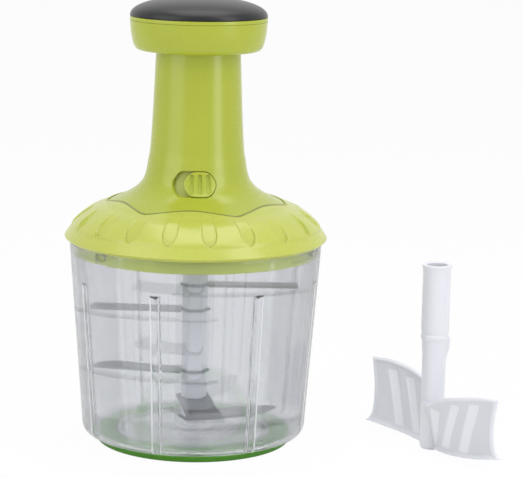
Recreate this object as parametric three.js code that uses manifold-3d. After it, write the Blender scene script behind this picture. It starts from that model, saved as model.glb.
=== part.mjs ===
// A plunger food chopper: clear bowl, geared lid with a press cap, blade tower and a separate stirring paddle.
// Millimetres, +Z up. Heights are above the table, radii are from the chopper's own upright axis.
import * as THREE from 'three';
import { mergeVertices } from 'three/addons/utils/BufferGeometryUtils.js';
import Module from 'manifold-3d';

const wasm = await Module();
wasm.setup();

// Clearances and facets
const seatGap = 0.3;
const runGap = 0.4;
const overrun = 1;
const mergeGap = 0.0001;
const facetsWide = 32;
const facetsNeck = 24;
const facetsTube = 16;
const facetsSmall = 12;
const facetsTiny = 8;
const frontAngle = -90;

// Bowl
const bowlRimR = 62.75;
const bowlBaseR = 56;
const bowlHeight = 102.3;
const bowlWall = 2.2;
const bowlFloor = 2.4;
const bowlRimStep = 0.35;
const bowlRimBand = 1.6;
const bowlCornerRise = 6;
const bowlFootInset = 5.6;
const bowlFootLift = 1.2;
const bowlFilletR = 3.6;
const bowlFilletSteps = 2;
const bossR = 9.5;
const bossRise = 0.6;
const bowlFootR = bowlBaseR - bowlFootInset;
const bowlMeanR = (bowlRimR + bowlBaseR) / 2;

// Flutes moulded down the bowl wall
const fluteAngles = [-16.7, 31.9, 75.8, 119.8, 163.8, 213.7, 256.9, 300.1];
const fluteR = 2.2;
const fluteSink = 1.3;
const fluteRibR = 3.2;
const fluteRibStand = 1.3;
const fluteTopDrop = 18.3;
const fluteTopZ = bowlHeight - fluteTopDrop;

// Non-slip ring under the bowl
const gripRingInset = 2;
const gripRingWidth = 9.7;
const gripRingOuterR = bowlFootR - gripRingInset;
const gripRingInnerR = gripRingOuterR - gripRingWidth;
const gripRingHeight = 3;
const gripRingRound = 1.2;
const ringFenceWall = 2.1;

// Bayonet between the bowl and the lid
const bayonetCount = 3;
const bayonetFirst = 73;
const lugWidth = 6.5;
const lugHeight = 3;
const lugReach = 2;
const lugDrop = 3.4;
const lugZ = bowlHeight - lugDrop;
const lugPlay = 0.5;
const bayonetTurn = 18;
const skirtPlay = 0.95;
const skirtOuterR = bowlRimR - bowlWall - skirtPlay;
const skirtWall = 2.8;
const skirtDepth = 8.4;

// Lid plate and seal
const sealThickness = 0.8;
const sealWidth = 2.2;
const lidPlate = 1.6;
const lidPlateR = bowlRimR - bowlRimStep;
const hubWall = 3;
const hubDrop = 4.5;

// Dome cover
const brimPlay = 0.1;
const brimLip = 0.65;
const brimSwell = 1.75;
const brimLap = 0.55;
const brimRise = 1.75;
const brimRoom = 2.7;
const domeRun = 28.75;
const domeRise = 20.9;
const domeWall = 1.4;
const brimInnerR = bowlRimR + brimPlay;
const brimLipR = brimInnerR + brimLip;
const brimR = brimLipR + brimSwell;
const brimLowZ = bowlHeight - brimLap;
const brimEdgeZ = brimLowZ + brimRise;
const domeBrimInnerZ = bowlHeight + brimRoom;
const domeEdgeR = brimR - domeRun;
const domeTopZ = brimEdgeZ + domeRise;
const scallopCount = 6;
const scallopInset = 7.7;
const scallopDepth = 6.4;
const scallopCuspR = domeEdgeR + scallopInset;
const scallopArchR = scallopCuspR - scallopDepth;
const scallopFirst = 28;
const scallopSteps = 5;
const scallopPower = 0.8;
const petalCount = 19;
const petalFirst = 7.2;
const petalWidth = 7.4;
const petalFootInset = 3.2;
const petalHeadInset = 5.8;
const petalLowR = brimR - petalFootInset;
const petalHighR = scallopCuspR + petalHeadInset;
const petalSink = 0.7;
const postR = 2.9;
const postInset = 12.05;
const postCircleR = brimR - postInset;
const postFirst = 30;
const postCount = 3;

// Gear train in the dome
const sunTeeth = 12;
const planetTeeth = 12;
const ringTeeth = 36;
const planetCount = 3;
const addendumShare = 0.8;
const ringAddendumShare = 0.52;
const dedendumShare = 1.15;
const ringGearWall = 3.6;
const ringGearLap = 5.4;
const gearModule = (domeEdgeR + ringGearLap - ringGearWall) / (ringTeeth / 2 + dedendumShare);
const pressureAngle = 20;
const backlash = 0.3;
const planetWidth = 4.4;
const ringGearHeight = 8.2;
const planetPinR = 2.4;
const pinHeadR = 3.4;
const pinHead = 0.6;
const carrierRim = 5;
const carrierR = gearModule * (sunTeeth + planetTeeth) / 2 + carrierRim;
const carrierPlate = 2.1;
const carrierHubR = 6.5;
const carrierHubRise = 5.8;
const carrierHoleR = 6;
const gearCoverPlate = 1.2;

// Spindle, dog and bush
const spindleR = 3.7;
const spindleTailR = 2.2;
const dogLength = 7.2;
const dogCoreR = 3.3;
const dogFinR = 4.7;
const dogFinWidth = 2.2;
const dogFins = 3;
const bushWall = 2.7;
const bushFlangeR = 9;
const bushFlange = 0.5;

// Neck cover
const stemR = 17;
const stemFlangeStand = 2.2;
const stemFlangeR = stemR + stemFlangeStand;
const neckStand = 1.7;
const neckFootDrop = 7.4;
const neckRise = 78.6;
const neckLap = 1.8;
const neckWall = 2;
const neckSeatInset = 6.7;
const neckSeatWidth = 2.4;
const neckTopR = stemFlangeR + neckStand;
const neckFootR = scallopCuspR + neckLap;
const neckSeatR = domeEdgeR + neckSeatInset;
const neckFootZ = domeTopZ - neckFootDrop;
const neckTopZ = neckFootZ + neckRise;

// Press stem, nut and helical rod
const stroke = 45;
const stemWall = 2;
const stemStep = 1.8;
const stemFlange = 3.4;
const stemKeyStand = 1.4;
const stemKeyWidth = 3;
const stemWeb = 3;
const nutThickness = 5;
const rodWidth = 9;
const rodThickness = 3.2;
const rodLead = 90;
const rodTopRun = 5;
const rodShankR = 4;
const rodSteps = 24;

// Return spring
const springR = 10.5;
const springWire = 1.2;
const springTurns = 6;
const springSteps = 8;
const springSides = 5;

// Lock button in the neck
const buttonCentre = 5.2;
const buttonHalf = 19;
const buttonFlatHalf = 10.3;
const buttonLift = 10.5;
const buttonHeight = 11.4;
const buttonLowZ = neckFootZ + buttonLift;
const buttonHighZ = buttonLowZ + buttonHeight;
const buttonProud = 0.9;
const buttonGroove = 0.7;
const buttonGrooveHalf = 2.1;
const buttonGroovePitch = 8.8;
const lockTurn = 12.8;
const slidePlate = 1.5;
const slideHalf = 32;
const slideMargin = 1.6;
const catchWidth = 3;
const catchHeight = 3;

// Press cap
const capR = 33.75;
const capTuck = 5.15;
const capPlay = 0.5;
const capWallRise = 14.3;
const capLowR = capR - capTuck;
const capLowZ = neckTopZ + capPlay;
const capWallTopZ = capLowZ + capWallRise;
const capWall = 2;
const capCollar = 2.2;
const capSocketDepth = 7.2;
const bezelBand = 1.9;
const bezelSpigot = 3.6;
const bezelWidth = 5.25;
const bezelTopZ = capWallTopZ + bezelBand;
const bezelInnerR = capR - bezelWidth;
const padHeight = 9.6;
const padTopZ = bezelTopZ + padHeight;
const padWall = 2.2;
const padPower = 2.15;
const padSteps = 5;
const padCoreSteps = 4;
const capScrewR = 1.7;
const capScrewHeadR = 4;
const capScrewHead = 2;
const capScrewLength = 10;

// Case screws
const screwR = 1.3;
const screwHeadR = 2.6;
const screwHead = 1.3;
const screwBite = 8;

// Blade tower
const towerR = 6.6;
const towerSides = 6;
const towerTurn = 5;
const towerDrop = 3.7;
const towerFootInset = 1.8;
const towerTopZ = bowlHeight - towerDrop;
const towerFootR = towerR - towerFootInset;
const towerCollar = 1.1;
const socketWall = 1.6;
const socketR = towerR - socketWall;
const socketDepth = 10;
const bladeCoreR = socketR;
const bladeHubLap = 1.4;
const bladeHubR = towerR + bladeHubLap;
const bladeThickness = 1;
const footBushR = 3;
const footBushTop = 1.2;
const footBushHeight = 12.6;
const pivotR = 1.7;
const pivotHeight = 13.8;
const pivotSeat = 2.4;
const bladeEdge = 2.4;
const longBladeSpare = 6.975;
const bladeSpare = 7.875;
const frontBladeSpare = 17.875;
const bottomBladeSpare = 11.875;
const middleBladeLift = 2.6;
const upperBladeLift = 0.8;
const topBladeRise = 73.1;
const topBladeWidth = 12;
const upperBladeRise = 60.4;
const upperBladeWidth = 15;
const middleBladeRise = 28.9;
const middleBladeWidth = 16;
const frontBladeRise = 14.5;
const frontBladeWidth = 16.5;
const bottomBladeRise = 4.8;
const bottomBladeWidth = 16;

// Stirring paddle
const paddleX = 119.7;
const paddleY = -13;
const paddleHeight = 93.5;
const paddleTopR = 6.9;
const paddleRimStand = 0.55;
const paddleRimR = paddleTopR + paddleRimStand;
const paddleRimBand = 2.6;
const paddleStepZ = 57.4;
const paddleStepBand = 1.6;
const paddleStepInset = 0.3;
const paddleLowInset = 1.05;
const paddleFootInset = 0.75;
const paddleStepR = paddleTopR - paddleStepInset;
const paddleLowR = paddleTopR - paddleLowInset;
const paddleFootR = paddleLowR - paddleFootInset;
const paddleTaper = 13;
const paddleFootRise = 1.4;
const paddleWall = 1.8;
const paddleBoreR = paddleTopR - paddleWall;
const paddleBoreDepth = 40;
const paddlePivotBoreR = 3.4;
const paddlePivotBoreDepth = 18;
const paddleNubStand = 1.6;
const paddleNubWidth = 3;
const paddleNubHeight = 10;
const finAngle = -47;
const finReach = 47;
const finHeight = 36;
const finThickness = 2;
const finBow = 5;
const finLean = 9.1;
const finPanelWidth = 4.6;
const finPanelSink = 0.8;

// Places worked out from the sizes above
const rimZ = bowlHeight;
const floorUnderZ = gripRingHeight + seatGap;
const floorZ = floorUnderZ + bowlFloor;
const bossZ = floorZ + bossRise;
const sealLowZ = rimZ + seatGap;
const plateLowZ = sealLowZ + sealThickness + seatGap;
const plateTopZ = plateLowZ + lidPlate;
const skirtInnerR = skirtOuterR - skirtWall;
const planetLowZ = plateTopZ + 2 * seatGap + 2 * bushFlange;
const planetTopZ = planetLowZ + planetWidth;
const carrierLowZ = planetTopZ + runGap;
const carrierTopZ = carrierLowZ + carrierPlate;
const ringGearLowZ = plateTopZ + seatGap;
const ringGearTopZ = ringGearLowZ + ringGearHeight;
const gearCoverLowZ = ringGearTopZ + seatGap;
const gearCoverTopZ = gearCoverLowZ + gearCoverPlate;
const planetOrbitR = gearModule * (sunTeeth + planetTeeth) / 2;
const ringGearR = gearModule * ringTeeth / 2 + gearModule * dedendumShare + ringGearWall;
const hubLowZ = plateLowZ - hubDrop;
const bushR = spindleR + runGap;
const hubBoreR = bushR + bushWall + seatGap;
const spindleTopZ = planetTopZ;
const dogTopZ = towerTopZ - seatGap;
const dogLowZ = dogTopZ - dogLength;
const springLowZ = gearCoverTopZ + seatGap;
const stemLowZ = springLowZ + springTurns * 2 * springWire - springWire * 2;
const flangeTopZ = stemLowZ + stemFlange;
const nutTopZ = stemLowZ + nutThickness;
const guideLowZ = flangeTopZ + stroke + seatGap;
const guideR = stemR + runGap;
const stemTopZ = capLowZ + capSocketDepth;
const rodTwistLowZ = stemLowZ - overrun;
const rodTwistTopZ = nutTopZ + stroke + rodTopRun;
const stepAngle = Math.PI / 180;

// Materials, from the photograph
function paint(hex, roughness, metalness = 0, opacity = 1) {
  const material = new THREE.MeshStandardMaterial({ color: hex, roughness, metalness });
  material.transparent = opacity < 1;
  material.opacity = opacity;
  return material;
}
const finish = {
  clear: paint(0xc8cace, 0.1, 0, 0.35),
  lime: paint(0xb4c640, 0.35),
  limeLight: paint(0xccd95c, 0.35),
  limeInner: paint(0xa6bb4a, 0.4),
  pad: paint(0x3c3d3f, 0.6),
  green: paint(0x55903a, 0.7),
  white: paint(0xe2e4ea, 0.4),
  seal: paint(0xd8dcdc, 0.7),
  steel: paint(0x8f9498, 0.3, 0.9),
  acetal: paint(0xeeeee8, 0.45),
};

// Geometry tools

// A three.js geometry as a solid: shared corners merged, flat triangles dropped, faces pointing out
function solid(geometry) {
  const bare = geometry.clone();
  bare.deleteAttribute('normal');
  bare.deleteAttribute('uv');
  const merged = mergeVertices(bare, mergeGap);
  const places = merged.attributes.position.array;
  const triangles = [];
  for (let i = 0; i < merged.index.count; i += 3) {
    const [a, b, c] = [0, 1, 2].map((k) => merged.index.getX(i + k));
    if (a !== b && b !== c && c !== a) triangles.push(a, b, c);
  }
  const corner = (i) => new THREE.Vector3().fromArray(places, 3 * i);
  let volume = 0;
  for (let i = 0; i < triangles.length; i += 3) {
    volume += corner(triangles[i]).dot(corner(triangles[i + 1]).cross(corner(triangles[i + 2])));
  }
  if (volume < 0) {
    for (let i = 0; i < triangles.length; i += 3) {
      [triangles[i + 1], triangles[i + 2]] = [triangles[i + 2], triangles[i + 1]];
    }
  }
  const mesh = new wasm.Mesh({
    numProp: 3,
    vertProperties: Float32Array.from(places),
    triVerts: Uint32Array.from(triangles),
  });
  return new wasm.Manifold(mesh);
}

function geometryOf(body) {
  const mesh = body.getMesh();
  const geometry = new THREE.BufferGeometry();
  geometry.setAttribute('position', new THREE.BufferAttribute(Float32Array.from(mesh.vertProperties), 3));
  geometry.setIndex(Array.from(mesh.triVerts));
  geometry.computeVertexNormals();
  return geometry;
}

function join(first, ...others) {
  return others.reduce((sum, other) => sum.add(other), first);
}

function cut(first, ...others) {
  return others.reduce((rest, other) => rest.subtract(other), first);
}

// A closed outline of [radius, height] turned about the upright axis
function revolve(outline, facets) {
  const points = outline.map(([r, z]) => new THREE.Vector2(r, z));
  points.push(points[0].clone());
  return solid(new THREE.LatheGeometry(points, facets).rotateX(Math.PI / 2));
}

function tube(innerR, outerR, lowZ, highZ, facets) {
  return revolve([[innerR, lowZ], [outerR, lowZ], [outerR, highZ], [innerR, highZ]], facets);
}

function disc(r, lowZ, highZ, facets) {
  return tube(0, r, lowZ, highZ, facets);
}

// A flat outline of [x, y] raised from one height to another
function prism(outline, lowZ, highZ) {
  const shape = new THREE.Shape(outline.map(([x, y]) => new THREE.Vector2(x, y)));
  const geometry = new THREE.ExtrudeGeometry(shape, { depth: highZ - lowZ, bevelEnabled: false });
  return solid(geometry.translate(0, 0, lowZ));
}

function box(x0, x1, y0, y1, z0, z1) {
  return prism([[x0, y0], [x1, y0], [x1, y1], [x0, y1]], z0, z1);
}

// An outline of [angle, height] pushed outwards along the radius, its angles measured from the front
function wedge(outline, innerR, outerR) {
  const count = outline.length;
  const places = [];
  for (const r of [innerR, outerR]) {
    for (const [angle, z] of outline) {
      const turn = (angle + frontAngle) * stepAngle;
      places.push(r * Math.cos(turn), r * Math.sin(turn), z);
    }
  }
  const flat = outline.map(([angle, z]) => new THREE.Vector2(angle, z));
  const caps = THREE.ShapeUtils.triangulateShape(flat, []);
  const index = [];
  for (const [a, b, c] of caps) {
    index.push(a, b, c, a + count, c + count, b + count);
  }
  for (let i = 0; i < count; i += 1) {
    const next = (i + 1) % count;
    index.push(i, i + count, next, next, i + count, next + count);
  }
  const geometry = new THREE.BufferGeometry();
  geometry.setAttribute('position', new THREE.Float32BufferAttribute(places, 3));
  geometry.setIndex(index);
  return solid(geometry);
}

// A straight bar between two points
function rod(from, to, r, facets) {
  const axis = new THREE.Vector3().subVectors(to, from);
  const geometry = new THREE.CylinderGeometry(r, r, axis.length(), facets);
  const turn = new THREE.Quaternion().setFromUnitVectors(new THREE.Vector3(0, 1, 0), axis.clone().normalize());
  geometry.applyQuaternion(turn);
  const middle = new THREE.Vector3().addVectors(from, to).multiplyScalar(0.5);
  return solid(geometry.translate(middle.x, middle.y, middle.z));
}

function around(body, degrees) {
  return body.rotate([0, 0, degrees]);
}

// A point at a radius, an angle from the front and a height
function at(r, angle, z) {
  const turn = (angle + frontAngle) * stepAngle;
  return new THREE.Vector3(r * Math.cos(turn), r * Math.sin(turn), z);
}

// An open outline moved sideways by a distance, to the left of its run
function offset(outline, distance) {
  return outline.map((point, i) => {
    const before = outline[Math.max(i - 1, 0)];
    const after = outline[Math.min(i + 1, outline.length - 1)];
    const run = new THREE.Vector2(after[0] - before[0], after[1] - before[1]).normalize();
    return [point[0] - run.y * distance, point[1] + run.x * distance];
  });
}

// An outline of shares stretched between two radii and two heights
function stretch(shares, baseR, spanR, baseZ, spanZ) {
  return shares.map(([rShare, zShare]) => [baseR + spanR * rShare, baseZ + spanZ * zShare]);
}

const model = new THREE.Group();
const chopper = new THREE.Group();
model.add(chopper);

function piece(name, body, material, parent = chopper) {
  const mesh = new THREE.Mesh(geometryOf(body), material);
  mesh.name = name;
  parent.add(mesh);
  return mesh;
}

// Bowl: tapered clear wall, eight flutes, three bayonet lugs, a fence for the grip ring
const wallSlope = (bowlRimR - bowlBaseR) / (rimZ - bowlRimBand - floorUnderZ - bowlCornerRise / 2);

function bowlOutlineR(z) {
  return bowlRimR - wallSlope * (rimZ - bowlRimBand - z);
}

function cornerArc(centreR, centreZ, r, steps) {
  return Array.from({ length: steps + 1 }, (_, i) => {
    const turn = -Math.PI / 2 * (i / steps);
    return [centreR + r * Math.cos(turn), centreZ + r * Math.sin(turn)];
  });
}

function makeBowl() {
  const cornerZ = floorUnderZ + bowlCornerRise / 2;
  const innerLowZ = floorZ + bowlFilletR;
  const innerLowR = bowlOutlineR(innerLowZ) - bowlWall;
  const rimInnerR = bowlRimR - bowlWall;
  const inner = cornerArc(innerLowR - bowlFilletR, innerLowZ, bowlFilletR, bowlFilletSteps);
  const outer = [
    [bowlFootR, floorUnderZ],
    [bowlBaseR - bowlFilletR / 2, cornerZ - bowlFilletR / 2],
    [bowlOutlineR(cornerZ + bowlFilletR / 4), cornerZ + bowlFilletR / 4],
  ];
  const rim = [
    [bowlRimR, rimZ - bowlRimBand],
    [bowlRimR - bowlRimStep, rimZ - bowlRimBand / 2],
    [bowlRimR - bowlRimStep, rimZ],
    [rimInnerR, rimZ],
  ];
  const pivotHoleR = pivotR + seatGap;
  const pivotHoleZ = bossZ - pivotSeat;
  const underside = [
    [bossR, floorZ],
    [bossR, bossZ],
    [pivotHoleR, bossZ],
    [pivotHoleR, pivotHoleZ],
    [0, pivotHoleZ],
    [0, floorUnderZ],
    [gripRingInnerR - runGap - ringFenceWall, floorUnderZ],
    [gripRingInnerR - runGap - ringFenceWall, bowlFootLift],
    [gripRingInnerR - runGap, bowlFootLift],
    [gripRingInnerR - runGap, floorUnderZ],
  ];
  const shell = revolve([...outer, ...rim, ...inner, ...underside], facetsWide);
  const envelope = revolve([...outer, ...rim.slice(0, 3), [0, rimZ], [0, floorUnderZ]], facetsWide);
  const ribs = [];
  const grooves = [];
  for (const angle of fluteAngles) {
    const lowZ = floorZ - bowlFloor / 2;
    const ribInset = bowlWall + fluteRibStand - fluteRibR;
    const ribFoot = at(bowlOutlineR(lowZ) - ribInset, angle, lowZ);
    ribs.push(rod(ribFoot, at(bowlOutlineR(fluteTopZ) - ribInset, angle, fluteTopZ), fluteRibR, facetsTiny));
    const grooveStand = fluteR - fluteSink;
    const grooveLowZ = -overrun;
    const grooveFoot = at(bowlOutlineR(grooveLowZ) + grooveStand, angle, grooveLowZ);
    const grooveTopZ = fluteTopZ - bowlWall;
    grooves.push(rod(grooveFoot, at(bowlOutlineR(grooveTopZ) + grooveStand, angle, grooveTopZ), fluteR, facetsTiny));
  }
  const lugs = [];
  for (let i = 0; i < bayonetCount; i += 1) {
    const lug = solid(new THREE.CylinderGeometry(lugHeight / 2, lugHeight / 2, lugReach + bowlWall / 2, facetsTiny)
      .scale(lugWidth / lugHeight, 1, 1)
      .translate(0, -(rimInnerR + bowlWall / 2 - (lugReach + bowlWall / 2) / 2), 0));
    lugs.push(around(lug.translate([0, 0, lugZ]), bayonetFirst + i * 360 / bayonetCount));
  }
  const ribbed = join(ribs[0], ...ribs.slice(1)).intersect(envelope);
  return cut(join(shell, ribbed, ...lugs), ...grooves);
}

function makeGripRing() {
  return revolve([
    [gripRingInnerR + gripRingRound, 0],
    [gripRingOuterR - gripRingRound, 0],
    [gripRingOuterR, gripRingRound],
    [gripRingOuterR, gripRingHeight],
    [gripRingInnerR, gripRingHeight],
    [gripRingInnerR, gripRingRound],
  ], facetsWide);
}

function makePivot() {
  const lowZ = bossZ - pivotSeat + seatGap;
  const topZ = lowZ + pivotHeight;
  return revolve([[0, lowZ], [pivotR, lowZ], [pivotR, topZ - pivotR / 2], [pivotR / 2, topZ], [0, topZ]], facetsTiny);
}

piece('bowl', makeBowl(), finish.clear);
piece('non_slip_ring', makeGripRing(), finish.green);
piece('pivot_pin', makePivot(), finish.steel);

// Lid plate: seal land, skirt with bayonet grooves, hub for the spindle bush, holes for the case screws
function makeSeal() {
  const outerR = bowlRimR - bowlRimStep;
  return tube(outerR - sealWidth, outerR, sealLowZ, sealLowZ + sealThickness, facetsWide);
}

function bayonetGroove(centre) {
  const half = (lugWidth / 2 + lugPlay) / skirtOuterR / stepAngle;
  const legEnd = centre - bayonetTurn - half;
  const topZ = lugZ + lugHeight / 2 + lugPlay;
  const legLowZ = lugZ - lugHeight / 2 - lugPlay;
  const grooveR = bowlRimR - bowlWall - lugReach - runGap;
  const middle = (legEnd + centre - half) / 2;
  const outline = [
    [centre - half, plateLowZ - skirtDepth - overrun],
    [centre + half, plateLowZ - skirtDepth - overrun],
    [centre + half, topZ],
    [centre - half, topZ],
    [middle, topZ],
    [legEnd, topZ],
    [legEnd, legLowZ],
    [middle, legLowZ],
    [centre - half, legLowZ],
  ];
  return wedge(outline, grooveR, skirtOuterR + overrun);
}

function makeLidBase() {
  const skirtLowZ = plateLowZ - skirtDepth;
  let body = revolve([
    [hubBoreR, hubLowZ],
    [hubBoreR + hubWall, hubLowZ],
    [hubBoreR + hubWall, plateLowZ],
    [skirtInnerR, plateLowZ],
    [skirtInnerR, skirtLowZ],
    [skirtOuterR, skirtLowZ],
    [skirtOuterR, plateLowZ],
    [lidPlateR, plateLowZ],
    [lidPlateR, plateTopZ],
    [hubBoreR, plateTopZ],
  ], facetsWide);
  for (let i = 0; i < bayonetCount; i += 1) {
    body = cut(body, bayonetGroove(bayonetFirst + i * 360 / bayonetCount));
  }
  for (let i = 0; i < postCount; i += 1) {
    const place = at(postCircleR, postFirst + i * 360 / postCount, 0);
    const hole = disc(screwR + runGap, plateLowZ - overrun, plateTopZ + overrun, facetsTiny);
    body = cut(body, hole.translate([place.x, place.y, 0]));
  }
  return body;
}

piece('lid_seal', makeSeal(), finish.seal);
piece('lid_base', makeLidBase(), finish.limeInner);

// Dome cover: brim lip, swelling dome, ring of shallow petals, scalloped opening and three screw posts
const domeShares = [
  [1, 0], [0.9426, 0.1196], [0.8922, 0.2153], [0.8591, 0.311], [0.72, 0.5024], [0.5357, 0.6938],
  [0.3409, 0.7943], [0.24, 0.8469], [0.1496, 0.8995], [0, 1],
];
const domeOutline = stretch(domeShares, domeEdgeR, brimR - domeEdgeR, brimEdgeZ, domeTopZ - brimEdgeZ);

function scallopOutline() {
  const outline = [];
  for (let i = 0; i < scallopCount; i += 1) {
    for (let k = 0; k < scallopSteps; k += 1) {
      const share = k / scallopSteps;
      const r = scallopCuspR + (scallopArchR - scallopCuspR) * Math.sin(Math.PI * share) ** scallopPower;
      const place = at(r, scallopFirst + (i + share) * 360 / scallopCount, 0);
      outline.push([place.x, place.y]);
    }
  }
  return outline;
}

// One petal: a scoop with a round foot, deepest there and running out flush at its head
const petalShares = [[1, 0], [0.8, 0.36], [0.56, 0.5], [0, 0.42], [0, -0.42], [0.56, -0.5], [0.8, -0.36]];

function makePetal() {
  const length = petalLowR - petalHighR;
  const plan = petalShares.map(([along, across]) => [petalHighR + length * along, petalWidth * across]);
  const floor = domeOutline.map((point, i) => {
    const share = THREE.MathUtils.clamp((point[0] - petalHighR) / length, 0, 1);
    return offset(domeOutline, petalSink * share)[i];
  });
  const above = offset(domeOutline, -petalSink);
  const sector = prism([...floor, ...above.reverse()], -petalWidth, petalWidth).rotate([90, 0, 0]);
  return prism(plan, brimEdgeZ, domeTopZ + overrun).intersect(sector);
}

function makeDome() {
  const inner = offset(domeOutline, domeWall).filter(([, z]) => z > domeBrimInnerZ + domeWall);
  const shellOutline = [
    [brimInnerR, brimLowZ],
    [brimLipR, brimLowZ],
    ...domeOutline,
    ...inner.reverse(),
    [brimInnerR, domeBrimInnerZ],
  ];
  const shell = revolve(shellOutline, facetsWide);
  const innerEnvelope = revolve([...offset(domeOutline, domeWall / 2), [0, domeTopZ], [0, brimEdgeZ]], facetsWide);
  const posts = [];
  const bores = [];
  for (let i = 0; i < postCount; i += 1) {
    const place = at(postCircleR, postFirst + i * 360 / postCount, 0);
    const post = disc(postR, plateTopZ + seatGap, domeTopZ, facetsTiny).translate([place.x, place.y, 0]);
    posts.push(post.intersect(innerEnvelope));
    const boreTopZ = plateTopZ + screwBite + seatGap;
    const bore = disc(screwR + seatGap, plateTopZ - overrun, boreTopZ, facetsTiny);
    bores.push(bore.translate([place.x, place.y, 0]));
  }
  const petals = [];
  for (let i = 0; i < petalCount; i += 1) {
    petals.push(around(makePetal(), frontAngle + petalFirst + i * 360 / petalCount));
  }
  const opening = prism(scallopOutline(), brimLowZ, domeTopZ + overrun);
  return cut(join(shell, ...posts), opening, ...bores, ...petals);
}

function makeScrew(index) {
  const place = at(postCircleR, postFirst + index * 360 / postCount, 0);
  const headTopZ = plateLowZ - seatGap;
  const tipZ = plateTopZ + screwBite;
  return revolve([
    [0, headTopZ - screwHead],
    [screwHeadR, headTopZ - screwHead],
    [screwHeadR, headTopZ],
    [screwR, headTopZ],
    [screwR, tipZ - screwR],
    [0, tipZ],
  ], facetsTiny).translate([place.x, place.y, 0]);
}

piece('dome_cover', makeDome(), finish.limeLight);
for (let i = 0; i < postCount; i += 1) {
  piece(`case_screw_${i + 1}`, makeScrew(i), finish.steel);
}

// Gears: involute flanks from the base circle, with the flank points worked out for each radius
function toothHalfAngle(r, pitchR, teeth, play) {
  const baseR = pitchR * Math.cos(pressureAngle * stepAngle);
  const roll = (x) => Math.tan(x) - x;
  const flank = r > baseR ? roll(Math.acos(baseR / r)) : 0;
  return (Math.PI / 2 * gearModule - play) / (2 * pitchR) + roll(pressureAngle * stepAngle) - flank;
}

function gearOutline(teeth, rings, play) {
  const pitchR = gearModule * teeth / 2;
  const outline = [];
  for (let i = 0; i < teeth; i += 1) {
    const middle = i * 2 * Math.PI / teeth;
    const flank = rings.map((r) => [r, toothHalfAngle(r, pitchR, teeth, play)]);
    for (const [r, half] of flank) outline.push([r * Math.cos(middle - half), r * Math.sin(middle - half)]);
    for (const [r, half] of flank.reverse()) outline.push([r * Math.cos(middle + half), r * Math.sin(middle + half)]);
  }
  return outline;
}

function outerGear(teeth, lowZ, highZ) {
  const pitchR = gearModule * teeth / 2;
  const tipR = pitchR + gearModule * addendumShare;
  const rootR = pitchR - gearModule * dedendumShare;
  return prism(gearOutline(teeth, [rootR, pitchR, tipR], backlash), lowZ, highZ);
}

function makeRingGear() {
  const pitchR = gearModule * ringTeeth / 2;
  const rootR = pitchR + gearModule * dedendumShare;
  const spaceTipR = pitchR - gearModule * ringAddendumShare;
  const spaces = gearOutline(ringTeeth, [spaceTipR, rootR], -backlash);
  const bore = around(prism(spaces, ringGearLowZ - overrun, ringGearTopZ + overrun), 180 / ringTeeth);
  return cut(disc(ringGearR, ringGearLowZ, ringGearTopZ, facetsWide), bore);
}

function makeGearCover() {
  return tube(carrierHubR + runGap, ringGearR, gearCoverLowZ, gearCoverTopZ, facetsWide);
}

piece('ring_gear', makeRingGear(), finish.acetal);
piece('gear_cover', makeGearCover(), finish.acetal);

function makeCarrier() {
  const hubTopZ = carrierTopZ + carrierHubRise;
  let body = revolve([
    [rodShankR + seatGap, carrierLowZ],
    [carrierR, carrierLowZ],
    [carrierR, carrierTopZ],
    [carrierHubR, carrierTopZ],
    [carrierHubR, hubTopZ],
    [rodShankR + seatGap, hubTopZ],
  ], facetsNeck);
  for (let i = 0; i < planetCount; i += 1) {
    const angle = i * 360 / planetCount * stepAngle;
    const pinHole = disc(planetPinR + seatGap, carrierLowZ - overrun, carrierTopZ + overrun, facetsTiny);
    const spare = angle + Math.PI / planetCount;
    const window = disc(carrierHoleR, carrierLowZ - overrun, carrierTopZ + overrun, facetsTiny);
    const windowR = (carrierR + carrierHubR) / 2;
    body = cut(
      body,
      pinHole.translate([planetOrbitR * Math.cos(angle), planetOrbitR * Math.sin(angle), 0]),
      window.translate([windowR * Math.cos(spare), windowR * Math.sin(spare), 0]),
    );
  }
  return body;
}

function makePlanet() {
  const bore = disc(planetPinR + runGap, planetLowZ - overrun, planetTopZ + overrun, facetsTiny);
  const gear = around(outerGear(planetTeeth, planetLowZ, planetTopZ), 180 / planetTeeth);
  return cut(gear, bore);
}

function makePlanetPin() {
  const headTopZ = planetLowZ - seatGap;
  return revolve([
    [0, headTopZ - pinHead],
    [pinHeadR, headTopZ - pinHead],
    [pinHeadR, headTopZ],
    [planetPinR, headTopZ],
    [planetPinR, carrierTopZ],
    [0, carrierTopZ],
  ], facetsTiny);
}

piece('planet_carrier', makeCarrier(), finish.acetal);
for (let i = 0; i < planetCount; i += 1) {
  const angle = i * 360 / planetCount * stepAngle;
  const place = [planetOrbitR * Math.cos(angle), planetOrbitR * Math.sin(angle), 0];
  piece(`planet_gear_${i + 1}`, makePlanet().translate(place), finish.acetal);
  piece(`planet_pin_${i + 1}`, makePlanetPin().translate(place), finish.steel);
}

// Spindle with the sun gear, its bush, and the dog that turns the blade tower
function makeSpindle() {
  const shaft = revolve([
    [0, dogLowZ + seatGap],
    [spindleTailR, dogLowZ + seatGap],
    [spindleTailR, dogTopZ + seatGap],
    [spindleR, dogTopZ + seatGap],
    [spindleR, planetLowZ + overrun],
    [0, planetLowZ + overrun],
  ], facetsSmall);
  return join(outerGear(sunTeeth, planetLowZ, spindleTopZ), shaft);
}

function makeBush() {
  return revolve([
    [bushR, hubLowZ + seatGap],
    [bushR + bushWall, hubLowZ + seatGap],
    [bushR + bushWall, plateTopZ + seatGap],
    [bushFlangeR, plateTopZ + seatGap],
    [bushFlangeR, plateTopZ + seatGap + bushFlange],
    [bushR, plateTopZ + seatGap + bushFlange],
  ], facetsSmall);
}

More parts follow.
